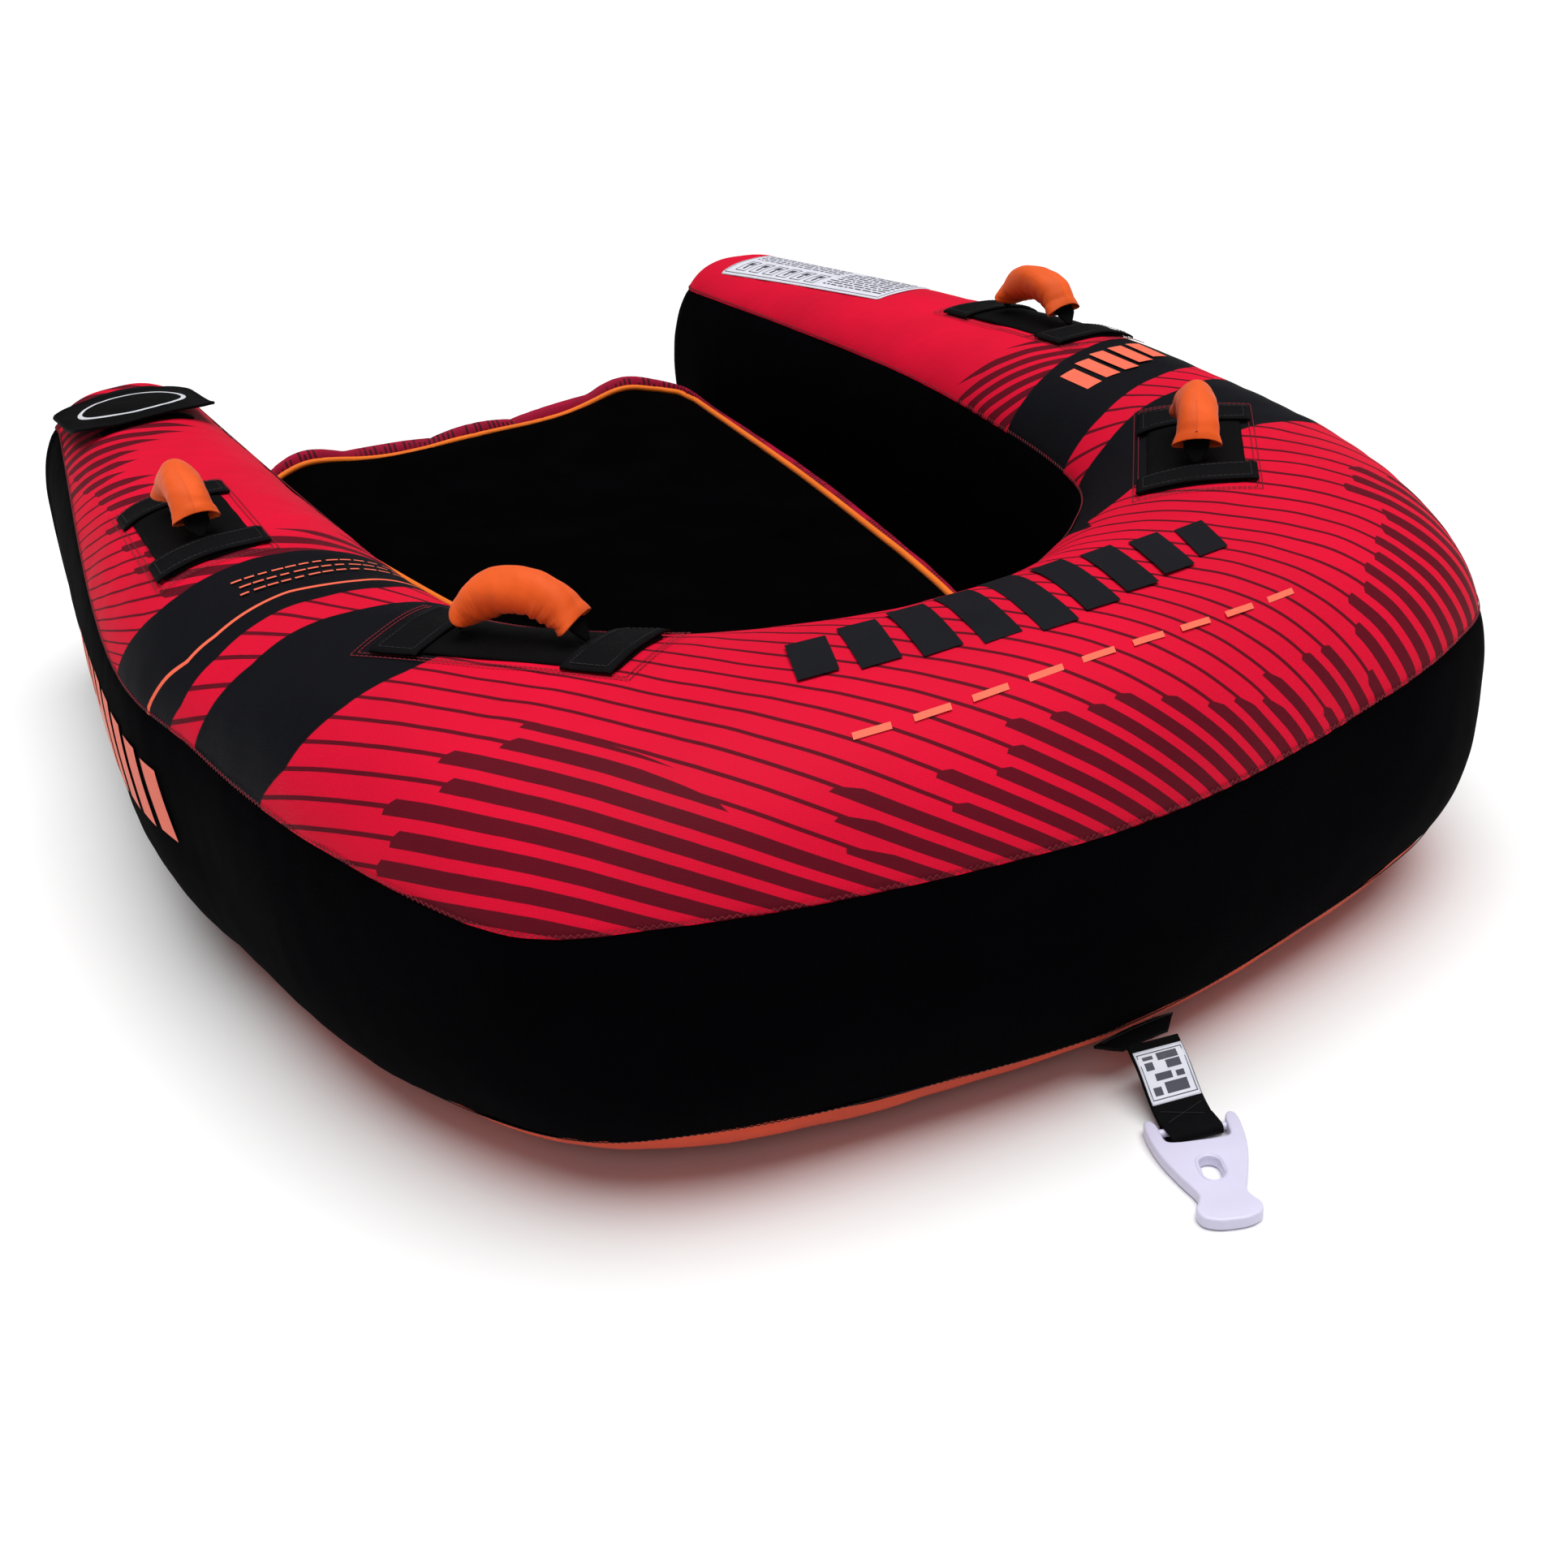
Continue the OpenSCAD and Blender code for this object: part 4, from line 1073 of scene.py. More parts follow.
def grip_sleeve(tag, org, along, seed):
    """Sleeve of cloth: gathered along the inside of the bend, flared at both mouths."""
    up = np.array([0, 0, 1.])
    side = np.cross(along, up)
    n, m = 150, 56
    lo = math.radians(39)
    th = np.linspace(lo, np.pi - lo, n)
    ph = np.linspace(0, 2 * np.pi, m, endpoint=False)
    TH, PH = np.meshgrid(th, ph, indexing="ij")
    s = (TH - lo) / (np.pi - 2 * lo)
    edge = np.minimum(s, 1 - s)
    inside = .5 - .5 * np.cos(PH)                       # 1 on the inner side of the bend
    r = np.full(TH.shape, SLEEVE_R - 1.2)
    r += .6 * noise1(TH * 9 + 1.3 * np.sin(PH + seed), 80 + seed)
    fold = noise1(TH * 26 + 1.1 * np.sin(PH * 2 + seed), 90 + seed)
    r += fold * (.1 + 1.7 * inside ** 2)
    r += 1.1 * np.sin(PH * 3 + TH * 4 + seed) * (1 - inside)
    r -= .5 * np.exp(-((edge - .09) / .03) ** 2)
    flare = np.clip(1 - edge / .07, 0, 1)
    # The mouths are pressed flat, with a corner at each side
    press = np.clip(1 - edge / .22, 0, 1) ** 1.5
    r += 1.6 * flare
    shape_r = np.cos(PH) * r * (1 - .38 * press)
    r = r * (1 + .16 * press * np.abs(np.sin(PH)) ** 3)
    rad_dir = along * np.cos(TH)[..., None] + up * np.sin(TH)[..., None]
    tang = -along * np.sin(TH)[..., None] + up * np.cos(TH)[..., None]
    sway = 1.2 * noise1(TH * 2.2, 100 + seed)
    pts = (org + rad_dir * (ARCH_R + shape_r + .8 * noise1(TH * 3.1, 110 + seed))[..., None]
           + side * (np.sin(PH) * r + sway)[..., None]
           + tang * (flare * (3.0 * np.abs(np.sin(PH)) ** 3 - 1.0) * np.where(s < .5, -1, 1))[..., None])
    ob = new_mesh("grip_sleeve_" + tag, pts.reshape(-1, 3), grid_faces(n, m, wrap_c=True), M_ORANGE)
    attr(ob, "cloth_at", np.stack([TH * ARCH_R * MM, PH * SLEEVE_R * MM, 0 * TH], -1), "FLOAT_VECTOR")
    modifier(ob, "SOLIDIFY", thickness=.0012, offset=-1)
    settle(ob, "orange_cloth", "handle_" + tag, "handle_sleeve_" + tag)


def stitch_ring(name, c, a, half_l, half_w, lift, mat, pitch, thick):
    """Running stitch round a rectangle on the tube's top, one short thread for each stitch."""
    corners = [(-half_l, -half_w), (half_l, -half_w), (half_l, half_w), (-half_l, half_w)]
    ca, sa = math.cos(math.radians(a)), math.sin(math.radians(a))
    verts, faces, base = [], [], 0
    for k in range(4):
        p, q = np.array(corners[k], float), np.array(corners[(k + 1) % 4], float)
        n = int(np.linalg.norm(q - p) / pitch)
        for i in range(n):
            ends = [p + (q - p) * (i + e) / n for e in (.1, .5, .9)]
            rows = []
            d = (q - p) / np.linalg.norm(q - p)
            nn = np.array([-d[1], d[0]])
            for j, e in enumerate(ends):
                hh = lift + (.35 if j == 1 else 0)
                for off, dz in ((-thick, -.2), (0, thick), (thick, -.2)):
                    w = e + nn * off
                    rows.append((c[0] + w[0] * ca - w[1] * sa, c[1] + w[0] * sa + w[1] * ca, hh + dz))
            verts += rows
            faces += (grid_faces(3, 3) + base).tolist()
            base += 9
    v = np.array(verts)
    v[:, 2] += top_z(v[:, 0], v[:, 1])
    ob = new_mesh(name, v, faces, mat)
    return settle(ob, "webbing_black" if mat is M_THREAD_K else "red_cloth", "tube")


handle("fl", -1, FRONT, FRONT_TURN, 1)
handle("fr", 1, FRONT, FRONT_TURN, 2)
handle("rl", -1, REAR_H, REAR_TURN, 3)
handle("rr", 1, REAR_H, REAR_TURN, 4)

# ------------------------------------------------------------------ label on the right leg
LABEL_AT, LABEL_TURN, LABEL_L, LABEL_W = (505., 1185.), 97., 390., 100.


def safety_label():
    """The label's vinyl and its plain marks."""
    cx, cy = LABEL_AT[0], LABEL_AT[1] - DATUM
    g, x, y = laid((cx, cy), LABEL_TURN, LABEL_L, LABEL_W, 2.4, 131, 35, 5.)
    g[..., 2] -= .5 * np.exp(-(LABEL_W / 2 - np.abs(y)) / 2) + .5 * np.exp(-(LABEL_L / 2 - np.abs(x)) / 2)
    ob = sheet_solid("safety_label", g, .8, M_LABEL)
    flat_attr(ob, x, y)
    settle(ob, "label_white", "tube", "info_label")
    quads = []
    ca, sa = math.cos(math.radians(LABEL_TURN)), math.sin(math.radians(LABEL_TURN))

    def rect(u0, u1, v0, v1):
        pts = [(u0, v0), (u1, v0), (u1, v1), (u0, v1)]
        return [(LABEL_AT[0] + u * ca - v * sa, LABEL_AT[1] + u * sa + v * ca) for u, v in pts]
    # A thin border, lines of grey blocks for the small print, and six plain pictogram frames
    for v in (-45, 44):
        quads.append(rect(-189, 189, v, v + 1.2))
    for u in (-190, 189):
        quads.append(rect(u, u + 1.2, -45, 45))
    r = np.random.default_rng(5)
    for row in range(9):
        u = -180.
        while u < -40:
            w = r.uniform(5, 22)
            if u + w > -40:
                break
            quads.append(rect(u, u + w, 30 - row * 8.4, 33 - row * 8.4))
            u += w + 4
    for row in range(4):
        u = -30.
        while u < 176:
            w = r.uniform(5, 20)
            quads.append(rect(u, min(u + w, 178), -14 - row * 8, -11.4 - row * 8))
            u += w + 4
    for k in range(6):
        u = -28 + k * 35
        quads.append(rect(u, u + 24, 2, 3.4))
        quads.append(rect(u, u + 24, 36, 37.4))
        quads.append(rect(u, u + 1.4, 2, 36))
        quads.append(rect(u + 23, u + 24.4, 2, 36))
        quads.append(rect(u + 6, u + 18, 8, 18))
        quads.append(rect(u + 9, u + 14, 20, 31))
    marks("safety_label_print", quads, M_INK, "tube", "label_white", lift=2.75, cell=9.0)


safety_label()

# ------------------------------------------------------------------ valve and its flap on the left leg
VALVE_X, VALVE_Y = -500., 1272. - DATUM
VALVE_Z = float(top_z(VALVE_X, VALVE_Y))
FLAP_L, FLAP_W = 172., 180.
flap_lo, flap_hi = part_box("valve_flap")
FLAP_MID = ((flap_lo.x + flap_hi.x) / 2 / MM, (flap_lo.y + flap_hi.y) / 2 / MM)
FLAP_Z = flap_lo.z / MM


def valve_flap():
    """The draped flap, its bound edge and the white ring printed on it."""
    nu, nv = 61, 61
    u, v = np.meshgrid(np.linspace(-.5, .5, nu), np.linspace(-.5, .5, nv), indexing="ij")
    corner = 16.
    x, y = u * FLAP_W, v * FLAP_L
    over = np.maximum(0, np.abs(x) - (FLAP_W / 2 - corner))
    keep = (FLAP_L / 2 - corner) + np.sqrt(np.maximum(corner ** 2 - over ** 2, 0))
    y = y * keep / (FLAP_L / 2)
    # The front edge curls up at its corners, the sides droop a little towards the tube
    front = np.clip(-y / (FLAP_L / 2), 0, 1)
    z = FLAP_Z + 2.0 - 12 * (np.abs(x) / (FLAP_W / 2)) ** 2.4 * (1 - .55 * front ** 2)
    z = z + 7 * front ** 3 * (np.abs(x) / (FLAP_W / 2)) ** 3 + 1.2 * np.sin(x / 21) * front ** 2
    z = z - 9.0 * np.clip((y + 40) / 126, 0, 1) ** 1.5 + .5 * noise1(x / 17 + y / 23, 121)
    g = np.stack([FLAP_MID[0] + x, FLAP_MID[1] + y, z], -1)
    ob = sheet_solid("valve_flap_cloth", g, 2.0, M_FLAP)
    flat_attr(ob, x, y)
    settle(ob, "black_cloth", "valve_flap", "valve_flap")
    # Bound edge
    loop = np.array([g[i, j] + (0, 0, -1.0) for i, j in border(nu, nv)])
    b = tube_mesh("valve_flap_binding", loop, 2.3, M_WEB, 8, closed=True)
    attr(b, "cloth_at", np.array([v.co[:] for v in b.data.vertices]), "FLOAT_VECTOR")
    settle(b, "webbing_black", "valve_flap")
    # White oval ring printed on it
    th = np.linspace(0, 2 * np.pi, 97)[:-1]
    rows = []
    for k in (0, 1):
        rx, ry = 64 + 6 * k, 50 + 6 * k
        xx, yy = rx * np.cos(th), ry * np.sin(th)
        iu = (xx / FLAP_W + .5) * (nu - 1)
        iv = (yy / FLAP_L + .5) * (nv - 1)
        i0, j0 = iu.astype(int), iv.astype(int)
        fu, fv = iu - i0, iv - j0
        zz = ((g[i0, j0, 2] * (1 - fu) + g[i0 + 1, j0, 2] * fu) * (1 - fv)
              + (g[i0, j0 + 1, 2] * (1 - fu) + g[i0 + 1, j0 + 1, 2] * fu) * fv)
        rows.append(np.stack([FLAP_MID[0] + xx, FLAP_MID[1] + yy, zz + .45], -1))
    ring = np.array(rows)
    ro = new_mesh("valve_flap_ring_print", ring.reshape(-1, 3), grid_faces(2, 96, wrap_c=True), M_WHITE_INK)
    settle(ro, "label_white", "valve_flap")


def flap_strips():
    """Two strips of webbing that hold the flap's ends to the cover."""
    front, rear = flap_lo.y / MM + 14, flap_hi.y / MM + 14
    for nm, cy, l, tz in (("front", front, 120., 3.5), ("rear", rear, 160., 5.0)):
        g, x, y = laid((FLAP_MID[0], cy), 0, l, 22, tz, 41, 9, 3.)
        g[..., 2] += .3 * np.sin(x / 6) - .8 * np.exp(-(11 - np.abs(y)) / 2)
        ob = sheet_solid("flap_strip_" + nm, g, 2.0, M_WEB)
        flat_attr(ob, x, y)
        settle(ob, "webbing_black", "tube", "flap_tape")


flap_strips()
valve_flap()


def lathe(name, profile, mat, centre, axis="z", sides=64, ridges=None, hollow=False):
    """Turned part from (radius, height) pairs in mm, which are a closed loop round a hole if it is hollow.
    ridges = (count, depth, first row, last row)."""
    prof = np.asarray(profile, float)
    th = np.linspace(0, 2 * np.pi, sides, endpoint=False)
    r = np.repeat(prof[:, :1], sides, 1)
    if ridges:
        count, depth, first, last = ridges
        notch = np.clip(np.cos(th * count) * 2.2, -1, 1) * .5 + .5
        r[first:last + 1] -= depth * (1 - notch)[None]
    x, y, z = r * np.cos(th), r * np.sin(th), np.repeat(prof[:, 1:], sides, 1)
    if axis == "y":
        y, z = z, y
    g = np.stack([x + centre[0], y + centre[1], z + centre[2]], -1)
    faces = grid_faces(len(prof), sides, wrap_c=True, wrap_r=hollow).tolist()
    if not hollow:
        faces += [list(range(sides)), [(len(prof) - 1) * sides + k for k in range(sides)]]
    ob = new_mesh(name, g.reshape(-1, 3), faces, mat)
    face_outward(ob.data)
    return ob


def inflation_valve():
    """The valve under the flap: flanged body, seal and ridged cap."""
    mid = (VALVE_X, VALVE_Y, VALVE_Z)
    body = [(11, -34), (16.6, -34), (17, -33), (17, -4), (18, -3.3), (32, -3.2), (33, -2.4), (32.6, -.8),
            (31, -.4), (26, -.35), (25, .1), (18.6, .4), (17.2, 1.4), (16.8, 2), (11.6, 2), (11, 1.4)]
    ob = lathe("valve_body", body, M_VALVE, mid, hollow=True)
    settle(ob, "valve_plastic", "tube", "valve_base")
    seal = [(12, 2.1), (15.6, 2.1), (16, 2.8), (15.6, 3.5), (12.4, 3.5), (12, 2.9)]
    ob = lathe("valve_seal_ring", seal, M_SEAL, mid, hollow=True)
    settle(ob, "seal_rubber", "tube", "valve_seal")
    cap = [(9.6, -10), (10.3, -9.4), (10.3, 3.8), (17.8, 3.9), (18.8, 4.5), (18.9, 7.6), (18.2, 8.6),
           (15.5, 8.8), (14.5, 8.2), (6, 8.0), (4.8, 8.9), (1, 8.9)]
    ob = lathe("valve_cap_turned", cap, M_VALVE, mid, sides=144, ridges=(24, 1.1, 4, 6))
    settle(ob, "valve_plastic", "valve_cap", "valve_cap")


def floor_valve():
    """The floor cushion's valve, pointing to the rear: flanged body and ridged cap."""
    lo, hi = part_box("floor_valve_base")
    mid = ((lo.x + hi.x) / 2 / MM, hi.y / MM - 1.0, (lo.z + hi.z) / 2 / MM)
    body = [(8.5, -30), (12.2, -30), (12.5, -29), (12.5, -2), (25, -1.7), (26, -.8), (25.4, .6), (24, 1),
            (14, 1), (13, 1.1), (9, 1.1), (8.5, .6)]
    ob = lathe("floor_valve_body", body, M_VALVE, mid, axis="y", hollow=True)
    settle(ob, "valve_plastic", "tube", "floor_valve_base")
    cap = [(7.4, -7.6), (7.9, -7), (7.9, 2.4), (14, 2.4), (14.9, 3), (14.9, 5.4), (14.3, 6.2), (12, 6.3),
           (11, 5.8), (4, 5.7), (3.2, 6.2), (.8, 6.2)]
    ob = lathe("floor_valve_cap_turned", cap, M_VALVE, mid, axis="y", sides=120, ridges=(20, .9, 4, 5))
    settle(ob, "valve_plastic", "floor_valve_cap", "floor_valve_cap")


inflation_valve()
floor_valve()


# ------------------------------------------------------------------ zip on the left leg's inner side
def zip_parts():
    """Two tapes and the two rows of teeth between them."""
    tape_lo, tape_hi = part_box("zip_tape")
    teeth_lo, teeth_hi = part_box("zip_teeth")
    x0 = tape_hi.x / MM
    y0, y1 = tape_lo.y / MM, tape_hi.y / MM
    zc = (teeth_lo.z + teeth_hi.z) / 2 / MM
    for s, nm in ((-1, "low"), (1, "high")):
        u, v = np.meshgrid(np.linspace(y0, y1, 141), np.linspace(-6.3, 6.3, 9), indexing="ij")
        x = x0 - .1 + .3 * noise1(u / 14, 130 + s) - .25 * (np.abs(v) / 6.3) ** 4
        g = np.stack([x, u, zc + s * 8.7 + v], -1)
        ob = sheet_solid("zip_tape_" + nm, g, 1.0, M_WEB, down=1.0)
        flat_attr(ob, u, v)
        settle(ob, "webbing_black", "tube", "zip_tape")
    # Teeth from the two sides, in turn
    ty0, ty1 = teeth_lo.y / MM, teeth_hi.y / MM
    tx = teeth_lo.x / MM
    verts, faces, base = [], [], 0
    n = int((ty1 - ty0) / 2.6)
    for k in range(n):
        s = 1 if k % 2 else -1
        yc = ty0 + (k + .5) * (ty1 - ty0) / n
        prof = [(-1.1, 2.9), (1.1, 2.9), (.8, .4), (1.2, -.8), (.5, -1.5), (-.5, -1.5), (-1.2, -.8),
                (-.8, .4)]
        for xx, k2 in ((tx + .1, 1.0), (tx + 1.2, 1.0), (tx + 1.5, .75)):
            for py, pz in prof:
                verts.append((xx, yc + py * k2, zc + s * pz * k2 + s * .2))
        m = len(prof)
        faces += (grid_faces(3, m, wrap_c=True) + base).tolist()
        faces.append([base + 2 * m + i for i in range(m)])
        faces.append([base + i for i in range(m)][::-1])
        base += 3 * m
    ob = new_mesh("zip_teeth_row", verts, faces, M_TEETH, smooth=False)
    settle(ob, "zip_plastic", "tube", "zip_teeth")


zip_parts()


def bevelled(name, outline, thick, mat, place, holes=(), bevel=1.0, segments=3):
    """A plate with rounded edges. Its outline and holes are 2-D points in mm, and place maps (x, y, z) to
    the row frame."""
    cu = bpy.data.curves.new(name, "CURVE")
    cu.dimensions = "2D"
    cu.fill_mode = "BOTH"
    for loop in [outline, *holes]:
        sp = cu.splines.new("POLY")
        sp.points.add(len(loop) - 1)
        for p, (x, y) in zip(sp.points, loop):
            p.co = (x, y, 0, 1)
        sp.use_cyclic_u = True
    cu.extrude = thick / 2 - bevel
    cu.bevel_depth = bevel
    cu.bevel_resolution = segments
    cu.offset = -bevel
    tmp = bpy.data.objects.new(name + "_c", cu)
    bpy.context.collection.objects.link(tmp)
    me = bpy.data.meshes.new_from_object(tmp.evaluated_get(bpy.context.evaluated_depsgraph_get()))
    bpy.data.objects.remove(tmp)
    ob = bpy.data.objects.new(name, me)
    bpy.context.collection.objects.link(ob)
    co = np.empty(len(me.vertices) * 3)
    me.vertices.foreach_get("co", co)
    co = co.reshape(-1, 3)
    me.vertices.foreach_set("co", (place(co) * MM).ravel())
    me.materials.clear()
    me.materials.append(mat)
    face_outward(me, join=1e-5)
    me.polygons.foreach_set("use_smooth", [True] * len(me.polygons))
    modifier(ob, "EDGE_SPLIT", split_angle=math.radians(40))
    return ob


def rounded(w, h, r, n=6, cx=0., cy=0.):
    """Outline of a rectangle with round corners."""
    pts = []
    for k, (sx, sy) in enumerate(((1, 1), (-1, 1), (-1, -1), (1, -1))):
        for i in range(n + 1):
            a = math.radians(90 * k + 90 * i / n)
            pts.append((cx + sx * (w / 2 - r) + r * math.cos(a), cy + sy * (h / 2 - r) + r * math.sin(a)))
    return pts


def zip_runner():
    """The slider with its bridge, and the puller with its eye."""
    s_lo, s_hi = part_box("zip_slider")
    p_lo, p_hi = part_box("zip_puller")
    yc, zc = (s_lo.y + s_hi.y) / 2 / MM, (s_lo.z + s_hi.z) / 2 / MM
    x0 = s_lo.x / MM
    body = [(-11, -4.4), (-8, -6.4), (0, -6.9), (8, -6.9), (11, -5.6), (11, 5.6), (8, 6.9), (0, 6.9),
            (-8, 6.4), (-11, 4.4)]

    def place(c):
        return np.stack([x0 + 1.5 + c[:, 2], yc + c[:, 0], zc + c[:, 1]], -1)
    ob = bevelled("zip_slider_body", body, 3.0, M_METAL, place, bevel=.7)
    settle(ob, "zip_metal", "zip_slider", "zip_slider")
    th = np.linspace(0, np.pi, 17)
    bridge = np.stack([x0 + 2.6 + 4.6 * np.sin(th), yc + 4.2 * np.cos(th), np.full(17, zc)], -1)
    settle(tube_mesh("zip_slider_bridge", bridge, 1.0, M_METAL, 10, up=(0, 0, 1)), "zip_metal", "zip_slider")
    px = (p_lo.x + p_hi.x) / 2 / MM
    pz = p_hi.z / MM - 2.2
    tab = [(1.8, 2.0), (-1.8, 2.0), (-2.2, -12), (-4.8, -15.5), (-4.8, -36), (-3, -39.6), (3, -39.6),
           (4.8, -36), (4.8, -15.5), (2.2, -12)]

    def hang(c):
        return np.stack([px + c[:, 2], yc + c[:, 0], pz + c[:, 1]], -1)
    ob = bevelled("zip_puller_tab", tab, 1.8, M_METAL, hang, holes=[rounded(4.6, 12, 2.2, cy=-30)],
                  bevel=.4, segments=2)
    settle(ob, "zip_metal", "zip_puller", "zip_puller")
    th = np.linspace(0, 2 * np.pi, 25)[:-1]
    eye = np.stack([px + 1.7 * np.cos(th), np.full(24, yc), pz + 1.7 * np.sin(th)], -1)
    ob = tube_mesh("zip_puller_eye", eye, .6, M_METAL, 8, closed=True, up=(0, 1, 0))
    settle(ob, "zip_metal", "zip_puller")


zip_runner()

# ------------------------------------------------------------------ tow patch, strap and connector
ROOT_Y, ROOT_Z = -212. - DATUM, 50.
STRAP_W, STRAP_T = 50., 2.2
SKEW, HOOK_SKEW = math.radians(12), math.radians(24)
BAR_R = 3.6
BAR_GAP = .3                              # between the connector's bar and the strap round it
LIE_Z = BAR_R + BAR_GAP + STRAP_T + .2
LOOP_OUT = STRAP_T + .2
BAR_AT = 78.                              # how far down the strap the bar lies


def tow_patch():
    """The reinforcement at the nose and its row of stitches."""
    u, v = np.meshgrid(np.linspace(-1, 1, 41), np.linspace(0, 1, 11), indexing="ij")
    half = 46 * (1 - v) + (STRAP_W / 2 + 1) * v
    x = u * half
    y = ROOT_Y + 24 - 15.5 * v + 2 * u * u * (1 - v)
    z = ROOT_Z - 2 + 5.5 * np.exp(-v * 2) * (1 - u * u) + .5 * noise1(x / 6, 140)
    g = np.stack([x, y, z], -1)
    ob = sheet_solid("tow_patch_cloth", g, 4.2, M_WEB)
    flat_attr(ob, x, -15.5 * v)
    settle(ob, "webbing_black", "tube", "tow_patch")
    t = np.linspace(-1, 1, 40)
    row = np.stack([40 * t, ROOT_Y + 19.5 + 2 * t * t, ROOT_Z + 1.6 + 3.2 * (1 - t * t)], -1)
    settle(tube_mesh("tow_patch_stitch", row, .6, M_THREAD_K, 6), "webbing_black", "tube")


def along_strap(u, v, z):
    """u runs down the strap, v across it."""
    x = -u * math.sin(SKEW) + v * math.cos(SKEW)
    y = ROOT_Y - u * math.cos(SKEW) - v * math.sin(SKEW)
    return np.stack([x, y, z], -1)


def smooth_run(pts, n):
    """n points on a smooth line through pts."""
    p = np.asarray(pts, float)
    s = np.linspace(0, len(p) - 1, n)
    ext = np.concatenate([[2 * p[0] - p[1]], p, [2 * p[-1] - p[-2]]])
    i = np.clip(s.astype(int), 0, len(p) - 2)
    return catmull(ext[i], ext[i + 1], ext[i + 2], ext[i + 3], (s - i)[:, None])


def tow_strap():
    """The doubled strap with its loop round the connector's bar, its stitches and its label."""
    run = smooth_run([(0, ROOT_Z), (22, 38), (48, 17), (72.5, LIE_Z)], 40)
    tan = np.gradient(run, axis=0)
    tan /= np.linalg.norm(tan, axis=1, keepdims=True)
    nor = np.stack([-tan[:, 1], tan[:, 0]], -1)
    upper = run + nor * (LOOP_OUT / 2 + .4)
    lower = run - nor * (LOOP_OUT / 2 + .4)
    r = BAR_R + BAR_GAP + STRAP_T / 2
    th = np.linspace(np.pi / 2, -np.pi / 2, 21)
    u0, u1 = 72.5, 83.5
    loop = ([(u, LIE_Z + r) for u in np.linspace(u0 - 4, u1, 6)]
            + [(u1 + r * math.cos(t), LIE_Z + r * math.sin(t)) for t in th[1:]]
            + [(u, LIE_Z - r) for u in np.linspace(u1, u0 - 4, 6)[1:]])
    path = np.concatenate([upper[:-4], loop, lower[-5::-1]])
    cols = 15
    across = np.repeat(np.linspace(-1, 1, cols)[None] * (STRAP_W / 2), len(path), 0)
    g = along_strap(np.repeat(path[:, :1], cols, 1), across, np.repeat(path[:, 1:], cols, 1))
    ob = new_mesh("tow_strap_web", g.reshape(-1, 3), grid_faces(*g.shape[:2]), M_WEB)
    s = run_length(path)
    down = np.repeat(s[:, None], cols, 1)
    attr(ob, "cloth_at", np.stack([down * MM, across * MM, 0 * down], -1), "FLOAT_VECTOR")
    modifier(ob, "SOLIDIFY", thickness=STRAP_T * MM * .9, offset=0)
    modifier(ob, "BEVEL", width=.0006, segments=2, limit_method="ANGLE")
    settle(ob, "webbing_black", "tow_strap", "tow_strap")
    # Cross of stitches that closes the loop
    for k in range(2):
        uu = np.linspace(56, 68, 12)
        base = np.interp(uu, run[:, 0], run[:, 1])
        vv = np.linspace(-20, 20, 12) * (1 if k else -1)
        row = along_strap(uu, vv, base + LOOP_OUT / 2 + .4 + STRAP_T / 2 + .6)
        settle(tube_mesh("tow_strap_stitch_%d" % k, row, .5, M_THREAD_K, 6), "webbing_black", "tow_strap")
    # Label wrapped over it
    ul = np.linspace(9, 50, 22)
    zl = np.interp(ul, run[:, 0], run[:, 1]) + LOOP_OUT / 2 + .4 + STRAP_T / 2 + 1.0
    vl = np.linspace(-24, 24, 17)
    down, across = np.meshgrid(ul, vl, indexing="ij")
    g = along_strap(down, across, np.repeat(zl[:, None], len(vl), 1))
    lab = sheet_solid("strap_label_vinyl", g, .5, M_LABEL)
    flat_attr(lab, down, across)
    settle(lab, "label_white", "tow_strap", "strap_label")
    # Plain blocks in place of its pictures
    verts, faces, base = [], [], 0
    boxes = [(12, 47, -22, -21.2), (12, 47, 21.2, 22), (12, 12.8, -22, 22), (46.2, 47, -22, 22),
             (14, 20, -4, 16), (21, 27, 2, 16), (29, 34, -12, 4), (36, 44, -6, 16), (30, 34, 8, 16),
             (15, 18, -18, -8), (20, 26, -18, -10), (38, 44, -18, -10)]
    for a0, a1, b0, b1 in boxes:
        uu, vv = np.meshgrid(np.linspace(a0, a1, 4), np.linspace(b0, b1, 3), indexing="ij")
        zz = np.interp(uu, ul, zl) + .25
        verts.append(along_strap(uu, vv, zz).reshape(-1, 3))
        faces += (grid_faces(4, 3) + base).tolist()
        base += 12
    settle(new_mesh("strap_label_print", np.concatenate(verts), faces, M_INK), "label_white", "tow_strap")


tow_patch()
tow_strap()

HOOK_X = np.array([0, 18, 28, 30, 31, 36, 42, 42, 38, 30, 21.5, 23, 28, 25, 13, 0.])
HOOK_Y = np.array([20, 20, 17, 6, -6, -13, -8, 14, 38, 64, 87, 97, 107, 118, 124, 125.])
HOOK_T = 12.


